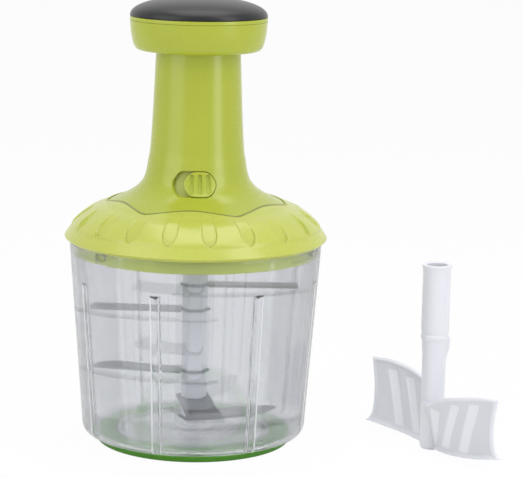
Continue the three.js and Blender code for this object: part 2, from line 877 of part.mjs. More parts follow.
function makeDog() {
  let body = disc(dogCoreR, dogLowZ, dogTopZ, facetsSmall);
  for (let i = 0; i < dogFins; i += 1) {
    const fin = box(0, dogFinR, -dogFinWidth / 2, dogFinWidth / 2, dogLowZ, dogTopZ);
    body = join(body, around(fin, towerTurn + i * 360 / dogFins));
  }
  return cut(body, disc(spindleTailR + seatGap, dogLowZ - overrun, dogTopZ + overrun, facetsSmall));
}

piece('sun_spindle', makeSpindle(), finish.steel);
piece('spindle_bush', makeBush(), finish.acetal);
piece('drive_dog', makeDog(), finish.acetal);

// Neck cover: waisted column that flares under the dome, with a keyed guide for the stem and a slot for the lock
const neckShares = [
  [1, 0], [0.821, 0.0242], [0.729, 0.0433], [0.649, 0.0649], [0.574, 0.0891], [0.498, 0.1145],
  [0.398, 0.14], [0.325, 0.1654], [0.267, 0.1908], [0.195, 0.2417], [0.1414, 0.318], [0.102, 0.394],
  [0.0558, 0.623], [0, 1],
];
const neckOutline = stretch(neckShares, neckTopR, neckFootR - neckTopR, neckFootZ, neckTopZ - neckFootZ);

// The closed layer between two depths below the neck's outer face
function neckLayer(outerDepth, innerDepth) {
  return revolve([...offset(neckOutline, outerDepth), ...offset(neckOutline, innerDepth).reverse()], facetsNeck);
}

function lockOutline(centre, stretchLeft, grow, growZ) {
  const middleZ = (buttonLowZ + buttonHighZ) / 2;
  return [
    [centre - stretchLeft - buttonFlatHalf, buttonLowZ - growZ],
    [centre + buttonFlatHalf, buttonLowZ - growZ],
    [centre + buttonHalf + grow, middleZ],
    [centre + buttonFlatHalf, buttonHighZ + growZ],
    [centre - stretchLeft - buttonFlatHalf, buttonHighZ + growZ],
    [centre - stretchLeft - buttonHalf - grow, middleZ],
  ];
}

function makeNeck() {
  const inner = offset(neckOutline, neckWall);
  const seatLowZ = gearCoverTopZ + seatGap;
  const column = inner.filter(([r, z], i) => r < neckSeatR - neckSeatWidth && z < guideLowZ && i % 2 === 1);
  const shell = revolve([
    ...neckOutline,
    [guideR, neckTopZ],
    [guideR, guideLowZ],
    [stemFlangeR + runGap, guideLowZ],
    ...column.reverse(),
    [neckSeatR - neckSeatWidth, seatLowZ],
    [neckSeatR, seatLowZ],
    [neckFootR, neckFootZ - neckWall / 2],
  ], facetsNeck);
  const keyHalf = stemKeyWidth / 2 + runGap;
  const keyReach = stemR + stemKeyStand + runGap;
  const keyways = box(-keyReach, keyReach, -keyHalf, keyHalf, guideLowZ - overrun, neckTopZ + overrun);
  const slot = wedge(lockOutline(buttonCentre, lockTurn, runGap, runGap), stemR, neckFootR);
  return cut(shell, keyways, slot);
}

piece('neck_cover', makeNeck(), finish.lime);

// Lock: a button that turns round the neck, on a curved slide plate whose catch passes over the stem's flange
function makeButton() {
  const body = wedge(lockOutline(buttonCentre, 0, 0, 0), stemR, neckFootR);
  let button = body.intersect(neckLayer(-buttonProud, neckWall));
  const middleZ = (buttonLowZ + buttonHighZ) / 2;
  const reachZ = (buttonHighZ - buttonLowZ) / 3;
  const floor = neckLayer(-buttonProud * 2, buttonGroove - buttonProud);
  for (const share of [-1, 0, 1]) {
    const centre = buttonCentre + share * buttonGroovePitch;
    const half = buttonGrooveHalf / 2;
    const outline = [
      [centre - half, middleZ - reachZ],
      [centre + half, middleZ - reachZ],
      [centre + half, middleZ + reachZ],
      [centre - half, middleZ + reachZ],
    ];
    button = cut(button, wedge(outline, stemR, neckFootR).intersect(floor));
  }
  return button;
}

function makeSlide() {
  const lowZ = buttonLowZ - slideMargin;
  const highZ = buttonHighZ + slideMargin;
  const sector = [];
  const steps = 8;
  for (let i = 0; i <= steps; i += 1) {
    sector.push([buttonCentre - slideHalf + 2 * slideHalf * i / steps, lowZ]);
  }
  for (let i = steps; i >= 0; i -= 1) {
    sector.push([buttonCentre - slideHalf + 2 * slideHalf * i / steps, highZ]);
  }
  const plateDepth = neckWall + seatGap;
  const plate = wedge(sector, stemFlangeR, neckFootR).intersect(neckLayer(plateDepth, plateDepth + slidePlate));
  const catchLowZ = flangeTopZ + seatGap;
  const bar = box(guideR, neckFootR, -catchWidth / 2, catchWidth / 2, catchLowZ, catchLowZ + catchHeight);
  const insideNeck = revolve([[0, neckFootZ], ...offset(neckOutline, plateDepth + slidePlate / 2), [0, neckTopZ]], facetsNeck);
  const tongue = around(bar, buttonCentre + frontAngle).intersect(insideNeck);
  return join(plate, tongue);
}

piece('lock_button', makeButton(), finish.lime);
piece('lock_slide', makeSlide(), finish.limeInner);

// Press stem: keyed tube with a stop flange, notched for the lock's catch, and a web under the cap
function makeStem() {
  const innerR = stemR - stemWall;
  const upperR = innerR - stemStep;
  const holeR = capScrewR + seatGap;
  const stem = revolve([
    [innerR, stemLowZ],
    [stemFlangeR, stemLowZ],
    [stemFlangeR, flangeTopZ],
    [stemR, flangeTopZ],
    [stemR, stemTopZ],
    [holeR, stemTopZ],
    [holeR, stemTopZ - capScrewLength],
    [holeR + capScrewR, stemTopZ - capScrewLength],
    [holeR + capScrewR, stemTopZ - stemWeb],
    [upperR, stemTopZ - stemWeb],
    [upperR, nutTopZ + seatGap],
    [innerR, nutTopZ + seatGap],
  ], facetsNeck);
  const keyReach = stemR + stemKeyStand;
  const keyBar = box(-keyReach, keyReach, -stemKeyWidth / 2, stemKeyWidth / 2, stemLowZ, neckTopZ);
  const keys = cut(keyBar, disc((innerR + stemR) / 2, stemLowZ - overrun, neckTopZ + overrun, facetsNeck));
  const notchHalf = catchWidth / 2 + runGap;
  const notch = box(stemR, stemFlangeR + overrun, -notchHalf, notchHalf, stemLowZ - overrun, flangeTopZ + overrun);
  return cut(join(stem, keys), around(notch, buttonCentre + frontAngle));
}

// The flat bar of the helical rod, or the slot that follows it, twisted one turn in each lead
function twistedBar(width, thickness, lowZ, highZ, steps) {
  const places = [];
  const corners = [[-1, -1], [1, -1], [1, 1], [-1, 1]];
  for (let i = 0; i <= steps; i += 1) {
    const z = lowZ + (highZ - lowZ) * i / steps;
    const turn = -2 * Math.PI * (z - stemLowZ) / rodLead;
    for (const [sideX, sideY] of corners) {
      const x = sideX * width / 2;
      const y = sideY * thickness / 2;
      places.push(x * Math.cos(turn) - y * Math.sin(turn), x * Math.sin(turn) + y * Math.cos(turn), z);
    }
  }
  const index = [0, 2, 1, 0, 3, 2];
  for (let i = 0; i < steps; i += 1) {
    for (let k = 0; k < corners.length; k += 1) {
      const a = i * corners.length + k;
      const b = i * corners.length + (k + 1) % corners.length;
      index.push(a, b, b + corners.length, a, b + corners.length, a + corners.length);
    }
  }
  const top = steps * corners.length;
  index.push(top, top + 1, top + 2, top, top + 2, top + 3);
  const geometry = new THREE.BufferGeometry();
  geometry.setAttribute('position', new THREE.Float32BufferAttribute(places, 3));
  geometry.setIndex(index);
  return solid(geometry);
}

function makeNut() {
  const pitch = (rodTwistTopZ - rodTwistLowZ) / rodSteps;
  const slotLowZ = rodTwistLowZ - pitch;
  const slotSteps = Math.ceil((nutTopZ - slotLowZ) / pitch) + 1;
  const slotTopZ = slotLowZ + slotSteps * pitch;
  const slot = twistedBar(rodWidth + 2 * runGap, rodThickness + 2 * runGap, slotLowZ, slotTopZ, slotSteps);
  return cut(disc(stemR - stemWall - seatGap, stemLowZ, nutTopZ, facetsNeck), slot);
}

function makeRod() {
  const twist = twistedBar(rodWidth, rodThickness, rodTwistLowZ, rodTwistTopZ, rodSteps);
  return join(disc(rodShankR, carrierLowZ, rodTwistLowZ + overrun / 2, facetsSmall), twist);
}

piece('press_stem', makeStem(), finish.lime);
piece('drive_nut', makeNut(), finish.acetal);
piece('helical_rod', makeRod(), finish.steel);

// Return spring: one unbroken wire wound round the carrier's hub, squeezed at rest
function makeSpring() {
  const lowZ = springLowZ + springWire / 2;
  const highZ = stemLowZ - seatGap - springWire / 2;
  const pitch = (highZ - lowZ) / springTurns;
  const steps = springTurns * springSteps;
  const places = [];
  const centres = [];
  for (let i = 0; i <= steps; i += 1) {
    const turn = 2 * Math.PI * i / springSteps;
    const z = lowZ + pitch * i / springSteps;
    centres.push(new THREE.Vector3(springR * Math.cos(turn), springR * Math.sin(turn), z));
    for (let k = 0; k < springSides; k += 1) {
      const side = 2 * Math.PI * k / springSides;
      const r = springR + springWire / 2 * Math.cos(side);
      places.push(r * Math.cos(turn), r * Math.sin(turn), z + springWire / 2 * Math.sin(side));
    }
  }
  const index = [];
  for (let k = 1; k < springSides - 1; k += 1) {
    const end = steps * springSides;
    index.push(0, k, k + 1, end, end + k + 1, end + k);
  }
  for (let i = 0; i < steps; i += 1) {
    for (let k = 0; k < springSides; k += 1) {
      const a = i * springSides + k;
      const b = i * springSides + (k + 1) % springSides;
      index.push(a, a + springSides, b, b, a + springSides, b + springSides);
    }
  }
  let least = Infinity;
  for (let i = 0; i < centres.length; i += 1) {
    for (let j = i + springSteps / 2; j < centres.length; j += 1) {
      least = Math.min(least, centres[i].distanceTo(centres[j]) - springWire);
    }
  }
  console.log(`return spring: least gap between turns ${least.toFixed(3)} mm`);
  const geometry = new THREE.BufferGeometry();
  geometry.setAttribute('position', new THREE.Float32BufferAttribute(places, 3));
  geometry.setIndex(index);
  return solid(geometry);
}

piece('return_spring', makeSpring(), finish.steel);

// Press cap: rounded shell on the stem, bezel ring, rigid core and soft pad
const capShares = [[0, 0], [0.28, 0.035], [0.525, 0.13], [0.674, 0.27], [0.864, 0.55], [0.95, 0.82], [1, 1]];
const capOutline = stretch(capShares, capLowR, capR - capLowR, capLowZ, capWallTopZ - capLowZ);

function makeCap() {
  const socketR = stemR + seatGap;
  const collarR = socketR + capCollar;
  const webLowZ = stemTopZ + seatGap;
  const webTopZ = webLowZ + capWall;
  const inner = offset(capOutline, capWall).slice(4).reverse();
  return revolve([
    [socketR, capLowZ],
    ...capOutline,
    ...inner,
    [capLowR, capLowZ + capWall],
    [collarR, capLowZ + capWall],
    [collarR, webTopZ],
    [capScrewR + seatGap, webTopZ],
    [capScrewR + seatGap, webLowZ],
    [socketR, webLowZ],
  ], facetsNeck);
}

function makeCapScrew() {
  const seatZ = stemTopZ + seatGap + capWall + seatGap;
  return revolve([
    [0, seatZ - capScrewLength],
    [capScrewR, seatZ - capScrewLength + capScrewR],
    [capScrewR, seatZ],
    [capScrewHeadR, seatZ],
    [capScrewHeadR, seatZ + capScrewHead],
    [0, seatZ + capScrewHead],
  ], facetsTiny);
}

function makeBezel() {
  const lowZ = capWallTopZ + seatGap;
  const spigotR = capR - capWall - 2 * seatGap;
  return revolve([
    [bezelInnerR, lowZ - bezelSpigot],
    [spigotR, lowZ - bezelSpigot],
    [spigotR, lowZ],
    [capR, lowZ],
    [capR, bezelTopZ],
    [bezelInnerR, bezelTopZ],
  ], facetsNeck);
}

// A flattened dome of a radius and a rise, as an outline from its edge to its crown
function domeCurve(r, lowZ, rise, steps) {
  return Array.from({ length: steps + 1 }, (_, i) => {
    const turn = Math.PI / 2 * i / steps;
    const out = Math.cos(turn) ** (2 / padPower);
    return [i === steps ? 0 : r * out, lowZ + rise * Math.sin(turn) ** (2 / padPower)];
  });
}

const padLowZ = bezelTopZ + seatGap;
const padRise = padTopZ - padLowZ;

function makePad() {
  const inner = domeCurve(capR - padWall, padLowZ, padRise - padWall, padCoreSteps).reverse();
  return revolve([...domeCurve(capR, padLowZ, padRise, padSteps), ...inner], facetsNeck);
}

function makePadCore() {
  const coreR = capR - padWall - seatGap;
  const plugR = bezelInnerR - seatGap;
  return revolve([
    [0, padLowZ - capWall],
    [plugR, padLowZ - capWall],
    [plugR, padLowZ],
    ...domeCurve(coreR, padLowZ, padRise - padWall - seatGap, padCoreSteps),
  ], facetsNeck);
}

piece('press_cap', makeCap(), finish.lime);
piece('cap_screw', makeCapScrew(), finish.steel);
piece('bezel_ring', makeBezel(), finish.lime);
piece('pad_core', makePadCore(), finish.acetal);
piece('grip_pad', makePad(), finish.pad);

// Blade tower: a white six-sided shaft moulded round five single-armed blades, with a bush for the bowl's pivot
const blades = [
  {
    name: 'blade_top', rise: topBladeRise, angle: 0, spare: bladeSpare, width: topBladeWidth, lift: 0,
    shares: [[0, -0.5], [1, -0.44], [0.985, 0.42], [0, 0.5]],
  },
  {
    name: 'blade_upper', rise: upperBladeRise, angle: 180, spare: longBladeSpare, width: upperBladeWidth,
    lift: upperBladeLift,
    shares: [[0, -0.5], [0.955, -0.48], [1, 0.2], [0.985, 0.5], [0, 0.5]],
  },
  {
    name: 'blade_middle', rise: middleBladeRise, angle: 180, spare: bladeSpare, width: middleBladeWidth,
    lift: middleBladeLift,
    shares: [[0, -0.5], [0.35, -0.4], [0.52, -0.46], [0.66, -0.56], [0.8, -0.52], [0.93, -0.2], [1, 0.3], [0.96, 0.46],
      [0.6, 0.5], [0, 0.5]],
  },
  {
    name: 'blade_front', rise: frontBladeRise, angle: -80.4, spare: frontBladeSpare, width: frontBladeWidth,
    lift: 0,
    shares: [[-0.2, -0.5], [1, -0.5], [1, 0.5], [-0.2, 0.5]],
  },
  {
    name: 'blade_bottom', rise: bottomBladeRise, angle: 24, spare: bottomBladeSpare, width: bottomBladeWidth,
    lift: 0,
    shares: [[0, -0.5], [0.5, -0.5], [0.76, -0.36], [1, 0.16], [0.74, 0.46], [0, 0.5]],
  },
];

function makeBlade(blade) {
  const level = floorZ + blade.rise;
  const lowZ = level - bladeThickness / 2;
  const highZ = level + bladeThickness / 2;
  const reach = bowlMeanR - blade.spare;
  const outline = blade.shares.map(([along, across]) => [reach * along, blade.width * across]);
  const hub = around(disc(bladeHubR, lowZ, highZ, towerSides), towerTurn - blade.angle);
  const rising = [1, 0, blade.lift / reach, 0, 0, 1, 0, 0, 0, 0, 1, 0, 0, 0, 0, 1];
  const bevelSlope = bladeThickness / bladeEdge;
  const edgeY = -blade.width / 2;
  const bevel = prism([
    [edgeY - bladeEdge, lowZ + bladeThickness / 4 - bevelSlope * bladeEdge],
    [edgeY + bladeEdge, lowZ + bladeThickness / 4 + bevelSlope * bladeEdge],
    [edgeY - bladeEdge, lowZ + bladeThickness / 4 + bevelSlope * bladeEdge],
  ], bladeHubR + bladeEdge, reach + overrun);
  const ground = bevel.rotate([90, 0, 90]);
  const plate = join(hub, cut(prism(outline, lowZ, highZ), ground).transform(rising));
  const hole = disc(bladeCoreR + seatGap, lowZ - overrun, highZ + overrun, facetsTube);
  return around(cut(plate, hole), blade.angle);
}

function makeTower() {
  const lowZ = bossZ + seatGap;
  const socketLowZ = towerTopZ - socketDepth;
  const slotHalf = bladeThickness / 2 + seatGap;
  const collarLowZ = floorZ + bottomBladeRise - slotHalf - towerCollar;
  const foot = around(disc(towerFootR, lowZ, towerTopZ, towerSides), towerTurn);
  let tower = join(foot, around(disc(towerR, collarLowZ, towerTopZ, towerSides), towerTurn));
  for (const blade of blades) {
    const level = floorZ + blade.rise;
    const slot = tube(bladeCoreR, towerR + overrun, level - slotHalf, level + slotHalf, facetsTube);
    tower = cut(tower, slot);
  }
  const bushBore = disc(footBushR + seatGap, lowZ - overrun, lowZ + footBushHeight + seatGap, facetsTube);
  tower = cut(tower, disc(socketR, socketLowZ, towerTopZ + overrun, facetsTube), bushBore);
  for (let i = 0; i < dogFins; i += 1) {
    const ribInnerR = dogCoreR + runGap;
    const ribOuterR = (socketR + towerR) / 2;
    const rib = box(ribInnerR, ribOuterR, -dogFinWidth / 2, dogFinWidth / 2, socketLowZ - overrun, towerTopZ);
    tower = join(tower, around(rib, towerTurn + 180 / dogFins + i * 360 / dogFins));
  }
  return tower;
}

function makeFootBush() {
  const lowZ = bossZ + seatGap;
  const topZ = lowZ + footBushHeight;
  const boreR = pivotR + seatGap;
  return revolve([
    [boreR, lowZ],
    [footBushR, lowZ],
    [footBushR, topZ],
    [0, topZ],
    [0, topZ - footBushTop],
    [boreR, topZ - footBushTop],
  ], facetsTiny);
}

piece('blade_shaft', makeTower(), finish.white);
for (const blade of blades) {
  piece(blade.name, makeBlade(blade), finish.steel);
}
piece('foot_bush', makeFootBush(), finish.acetal);

// Stirring paddle: socketed tube with two bowed fins, standing beside the chopper
const finShares = [
  [0, 0], [0.35, 0.02], [0.7, 0.06], [1, 0.12], [0.955, 0.19], [0.945, 0.34], [0.985, 0.67], [1.06, 1],
  [0.88, 1], [0.7, 0.96], [0.53, 0.885], [0.36, 0.78], [0.24, 0.7], [0.12, 0.63], [0, 0.6],
];
const finPanelShares = [[0.61, 0.8, 0.345, 0.1], [0.88, 0.9, 0.625, 0.09]];

function finPlan(halfThickness) {
  const steps = 9;
  const bow = (share) => finBow * Math.sin(Math.PI * share);
  const rows = Array.from({ length: steps + 1 }, (_, i) => i / (steps - 1));
  const near = rows.map((share) => [finReach * share, -bow(share) - halfThickness]);
  const far = rows.map((share) => [finReach * share, halfThickness - bow(share)]);
  return [...near, ...far.reverse()];
}

// A fin along +X: a bowed plate cut to its outline, with sunk panels, leaning more the higher it goes
function makeFin() {
  const side = finShares.map(([along, up]) => [finReach * along, finHeight * up]);
  const reachY = finBow + finThickness + overrun;
  const profile = prism(side, -reachY, reachY).rotate([90, 0, 0]);
  let fin = prism(finPlan(finThickness / 2), 0, finHeight).intersect(profile);
  for (const [topAlong, topUp, lowAlong, lowUp] of finPanelShares) {
    const half = finPanelWidth / 2;
    const strip = prism([
      [finReach * lowAlong - half, finHeight * lowUp],
      [finReach * lowAlong + half, finHeight * lowUp],
      [finReach * topAlong + half, finHeight * topUp],
      [finReach * topAlong - half, finHeight * topUp],
    ], -reachY, reachY).rotate([90, 0, 0]);
    const skin = prism(finPlan(finThickness / 2 - finPanelSink), -overrun, finHeight + overrun);
    fin = cut(fin, cut(strip, skin));
  }
  return fin.transform([1, 0, 0, 0, 0, 1, 0, 0, 0, -finLean / finHeight, 1, 0, 0, 0, 0, 1]);
}

function makePaddle() {
  const stepLowZ = paddleStepZ - paddleTaper;
  const tubeBody = revolve([
    [0, 0],
    [paddleFootR, 0],
    [paddleLowR, paddleFootRise],
    [paddleLowR, stepLowZ],
    [paddleStepR, paddleStepZ - paddleStepBand],
    [paddleStepR, paddleStepZ],
    [paddleTopR, paddleStepZ + paddleStepBand / 2],
    [paddleTopR, paddleHeight - paddleRimBand],
    [paddleRimR, paddleHeight],
    [0, paddleHeight],
  ], facetsTube);
  const nubTopZ = paddleStepZ + paddleStepBand / 2;
  const nubHalf = paddleNubWidth / 2;
  const nubOuterR = paddleStepR + paddleNubStand / 2;
  const nub = prism([
    [paddleLowR - overrun, nubTopZ - paddleNubHeight],
    [nubOuterR, nubTopZ - paddleNubHeight / 2],
    [nubOuterR, nubTopZ - paddleNubStand],
    [paddleStepR, nubTopZ],
    [paddleLowR - overrun, nubTopZ],
  ], -nubHalf, nubHalf).rotate([90, 0, 0]);
  const fin = makeFin();
  const socket = disc(paddleBoreR, paddleHeight - paddleBoreDepth, paddleHeight + overrun, facetsTube);
  const pivotBore = disc(paddlePivotBoreR, -overrun, paddlePivotBoreDepth, facetsTube);
  const body = join(tubeBody, nub, around(fin, finAngle), around(fin, finAngle + 180));
  return cut(body, socket, pivotBore);
}

const paddle = new THREE.Group();
paddle.position.set(paddleX, paddleY, 0);
model.add(paddle);
piece('paddle', makePaddle(), finish.white, paddle);

// The set's own frame: the table under the middle of everything
model.updateMatrixWorld(true);
const extent = new THREE.Box3().setFromObject(model, true);
model.position.x = -(extent.min.x + extent.max.x) / 2;
model.updateMatrixWorld(true);

export default model;
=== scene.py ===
"""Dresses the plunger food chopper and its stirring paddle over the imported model.

The scene is in metres and in the model's own frame. Shapes are grids of points, worked out with numpy in
millimetres, and each shape function says its formula in words.
"""

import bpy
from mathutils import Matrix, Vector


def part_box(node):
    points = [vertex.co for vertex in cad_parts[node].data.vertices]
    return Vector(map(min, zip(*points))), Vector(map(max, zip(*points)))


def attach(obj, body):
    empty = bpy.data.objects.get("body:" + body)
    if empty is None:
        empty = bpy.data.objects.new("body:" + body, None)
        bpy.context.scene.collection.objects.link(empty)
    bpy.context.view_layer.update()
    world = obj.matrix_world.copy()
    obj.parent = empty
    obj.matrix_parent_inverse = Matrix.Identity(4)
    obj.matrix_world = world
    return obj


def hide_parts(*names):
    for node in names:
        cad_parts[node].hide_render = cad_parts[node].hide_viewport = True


bl_info = {
    "name": "Plunger food chopper",
    "version": (1, 0, 0),
    "blender": (4, 5, 0),
    "location": "View3D > Sidebar > Chopper",
    "description": "Builds the visible pieces, finishes and studio of a plunger food chopper",
    "category": "Object",
}

import math
from types import SimpleNamespace

import bpy
import numpy as np
from mathutils import Matrix, Vector

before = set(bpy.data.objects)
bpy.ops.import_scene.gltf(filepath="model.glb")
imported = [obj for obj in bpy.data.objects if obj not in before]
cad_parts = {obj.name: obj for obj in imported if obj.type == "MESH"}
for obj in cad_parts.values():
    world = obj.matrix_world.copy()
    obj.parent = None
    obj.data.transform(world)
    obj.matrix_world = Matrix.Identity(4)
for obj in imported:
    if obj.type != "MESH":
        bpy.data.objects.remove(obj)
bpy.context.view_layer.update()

MM = 0.001
TURN = 2 * math.pi
NECK_LOW, NECK_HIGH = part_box("neck_cover")
PADDLE_LOW, PADDLE_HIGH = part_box("paddle")
AXIS = ((NECK_LOW.x + NECK_HIGH.x) / 2, 0.0)


# Numbers and colours

def linear(code):
    """Linear RGBA of an sRGB hex code: c / 12.92 below 0.04045, else ((c + 0.055) / 1.055) to the power
    2.4."""
    shares = np.array([int(code[i:i + 2], 16) for i in (0, 2, 4)]) / 255
    return (*np.where(shares <= 0.04045, shares / 12.92, ((shares + 0.055) / 1.055) ** 2.4).tolist(), 1.0)


def number(name, value, description, **kind):
    return bpy.props.FloatProperty(name=name, description=description, default=value, **kind)


def length(name, millimetres, description):
    return number(name, millimetres * MM, description, unit="LENGTH", precision=5)


def angle(name, degrees, description):
    return number(name, math.radians(degrees), description, subtype="ANGLE")


def count(name, value, description):
    return bpy.props.IntProperty(name=name, description=description, default=value, min=1)


def colour(name, code, description):
    return bpy.props.FloatVectorProperty(
        name=name, description=description, default=linear(code), size=4, min=0, max=1, subtype="COLOR")


def in_mm(group):
    """The values of a group of sizes by name, with its lengths in millimetres."""
    kinds = group.bl_rna.properties
    values = {key: getattr(group, key) for key in type(group).__annotations__}
    return SimpleNamespace(**{
        key: value / MM if kinds[key].unit == "LENGTH" else value for key, value in values.items()})


# Sizes and colours that a user may change

class BowlSizes(bpy.types.PropertyGroup):
    rim_r: length("Rim radius", 62.75, "Outside radius of the wall under the rim step")
    slope: number("Wall slope", 0.0728, "Radius lost for each metre down the wall")
    height: length("Height", 102.3, "Height of the rim above the table")
    wall: length("Wall", 2.2, "Thickness of the wall")
    under_z: length("Underside", 3.3, "Height of the floor's underside")
    floor_z: length("Floor", 5.7, "Height of the floor's upper face")
    foot_r: length("Foot radius", 50.4, "Radius where the underside turns up into the corner")
    corner_r: length("Inner corner", 3.6, "Radius of the corner between the floor and the wall")
    flutes: bpy.props.FloatVectorProperty(
        name="Flutes", description="Places of the flutes round the bowl, in degrees from the front", size=8,
        default=(-16.7, 31.9, 75.8, 119.8, 163.8, 213.7, 256.9, 300.1))
    flute_r: length("Flute radius", 2.2, "Radius of the groove outside a flute")
    flute_sink: length("Flute depth", 1.3, "Depth of the groove outside a flute")
    rib_r: length("Rib radius", 3.2, "Radius of the rib inside a flute")
    rib_stand: length("Rib height", 1.3, "Height of the rib inside a flute")
    flute_top_z: length("Flute top", 84, "Height where the flutes end")
    lugs: count("Lugs", 3, "Bayonet lugs inside the rim")
    lug_first: angle("First lug", -17, "Place of the first lug round the bowl")
    lug_width: length("Lug width", 6.5, "Width of a lug")
    lug_height: length("Lug height", 3, "Height of a lug")
    lug_reach: length("Lug reach", 2, "How far a lug stands into the bowl")
    lug_z: length("Lug level", 98.9, "Height of the lugs' middle")
    ring_inner_r: length("Ring inside", 38.7, "Inside radius of the non-slip ring")
    ring_outer_r: length("Ring outside", 48.8, "Outside radius of the non-slip ring")
    ring_height: length("Ring height", 3, "Height of the non-slip ring")


class LidSizes(bpy.types.PropertyGroup):
    skirt_r: length("Skirt radius", 59.6, "Outside radius of the skirt inside the bowl")
    skirt_wall: length("Skirt wall", 2.8, "Thickness of the skirt")
    skirt_low_z: length("Skirt foot", 95.3, "Height of the skirt's lower edge")
    plate_low_z: length("Plate underside", 103.7, "Height of the lid plate's underside")
    plate_top_z: length("Plate top", 105.3, "Height of the lid plate's upper face")
    plate_r: length("Plate radius", 62.4, "Radius of the lid plate")
    brim_r: length("Brim radius", 65.25, "Largest radius of the dome cover")
    brim_low_z: length("Brim foot", 101.75, "Height of the dome cover's lower edge")
    brim_z: length("Brim level", 103.5, "Height of the dome cover's widest edge")
    dome_wall: length("Dome wall", 1.4, "Thickness of the dome cover")
    scallops: count("Scallops", 6, "Arches round the dome cover's opening")
    cusp_r: length("Cusp radius", 44.2, "Radius of the points between the arches")
    arch_r: length("Arch radius", 38.9, "Radius at the top of an arch")
    scallop_first: angle("First cusp", -62, "Place of the first point between two arches")
    dome_run: length("Dome run", 28.75, "From the dome's curve at its mouth out to the brim")
    dome_rise: length("Dome rise", 20.9, "From the brim up to the dome's curve at its mouth")
    petals: count("Petals", 19, "Scoops round the dome cover")
    petal_first: angle("First petal", -81.8, "Place of the first scoop")
    petal_width: length("Petal width", 7.4, "Width of a scoop")
    petal_head_r: length("Petal head", 50, "Radius where a scoop begins")
    petal_foot_r: length("Petal foot", 62.05, "Radius of a scoop's rounded foot")
    petal_sink: length("Petal depth", 1.6, "Depth at the foot of a scoop")


class NeckSizes(bpy.types.PropertyGroup):
    top_r: length("Top radius", 20.8, "Radius of the neck under the cap")
    foot_r: length("Foot radius", 46, "Radius of the neck's flare under the dome cover")
    foot_z: length("Foot level", 117, "Height of the flare's edge")
    top_z: length("Top level", 195.6, "Height of the neck's upper edge")
    wall: length("Wall", 2, "Thickness of the neck")
    guide_r: length("Guide radius", 17.4, "Radius of the guide round the stem")
    guide_z: length("Guide level", 176.3, "Height of the guide's lower edge")
    lock_centre: angle("Lock centre", -84.8, "Place of the lock button round the neck")
    lock_half: angle("Lock half width", 19, "Half of the lock button's width")
    lock_flat: angle("Lock flat", 10.3, "Half of the lock button's flat edges")
    lock_low_z: length("Lock foot", 127.5, "Height of the lock button's lower edge")
    lock_high_z: length("Lock top", 138.9, "Height of the lock button's upper edge")
    lock_stand: length("Lock height", 0.9, "How far the lock button stands out of the neck")
    lock_turn: angle("Lock travel", 12.8, "How far the lock button turns round the neck")


class CapSizes(bpy.types.PropertyGroup):
    r: length("Cap radius", 33.75, "Largest radius of the press cap")
    low_r: length("Lower radius", 29.2, "Radius of the cap's flat underside")
    low_z: length("Cap foot", 195.9, "Height of the cap's underside")
    wall_z: length("Cap wall top", 210.4, "Height of the cap's wall")
    bezel_z: length("Bezel top", 212.3, "Height of the bezel ring's upper face")
    pad_z: length("Pad top", 221.9, "Height of the grip pad's crown")
    pad_power: number("Pad roundness", 2.15, "Power of the pad's superellipse", min=1)
    stem_r: length("Stem radius", 17, "Radius of the press stem")
    stem_low_z: length("Stem foot", 127.6, "Height of the stem's lower end")
    stem_top_z: length("Stem top", 203.3, "Height of the stem's upper end")


class BladeSizes(bpy.types.PropertyGroup):
    thickness: length("Blade thickness", 1, "Thickness of a blade")
    ground: length("Ground edge", 2.4, "Width of the ground edge")
    hub_r: length("Hub radius", 8, "Corner radius of a blade's six-sided hub")
    shaft_r: length("Shaft radius", 6.6, "Corner radius of the six-sided shaft")
    shaft_turn: angle("Shaft turn", 5, "Turn of the shaft's corners")
    shaft_top_z: length("Shaft top", 98.6, "Height of the shaft's upper end")
    core_r: length("Core radius", 5, "Radius of the shaft inside a blade's hub, and of its socket")


class PaddleSizes(bpy.types.PropertyGroup):
    height: length("Height", 93.5, "Height of the paddle")
    tube_r: length("Tube radius", 6.9, "Radius of the upper tube")
    rim_r: length("Rim radius", 7.45, "Radius of the tube's rim")
    low_r: length("Lower radius", 5.85, "Radius of the lower tube")
    step_z: length("Step level", 57.4, "Height of the step between the two tubes")
    fin_reach: length("Fin reach", 47, "Reach of a fin from the tube's axis")
    fin_height: length("Fin height", 36, "Height of a fin")
    fin_thickness: length("Fin thickness", 2, "Thickness of a fin")
    fin_bow: length("Fin bow", 5, "How far a fin bows out of its own plane")
    fin_lean: length("Fin lean", 9.1, "How far a fin's top leans sideways from its foot")
    fin_angle: angle("Fin angle", -47, "Place of the first fin round the tube")


class FinishColours(bpy.types.PropertyGroup):
    lime: colour("Lime", "AEB835", "Neck and cap")
    pale_lime: colour("Pale lime", "BDC454", "Dome cover")
    inner_lime: colour("Inner lime", "C3D163", "Lid plate and skirt")
    slot_lime: colour("Slot lime", "ABB34C", "Slide in the lock's slot")
    pad: colour("Pad", "17181A", "Grip pad")
    green: colour("Green", "3E7B0E", "Non-slip ring")
    white: colour("White", "DEDFE6", "Blade shaft and paddle")
    acetal: colour("Acetal", "EDEDE6", "Gears and bushes")
    seal: colour("Seal", "D8DCDC", "Lid seal")
    clear: colour("Clear tint", "EEEFF1", "Tint of the bowl's clear wall")
    steel: colour("Steel", "77797D", "Blades")
    bright_steel: colour("Bright steel", "C4C6C9", "Pins, screws, rod and spring")


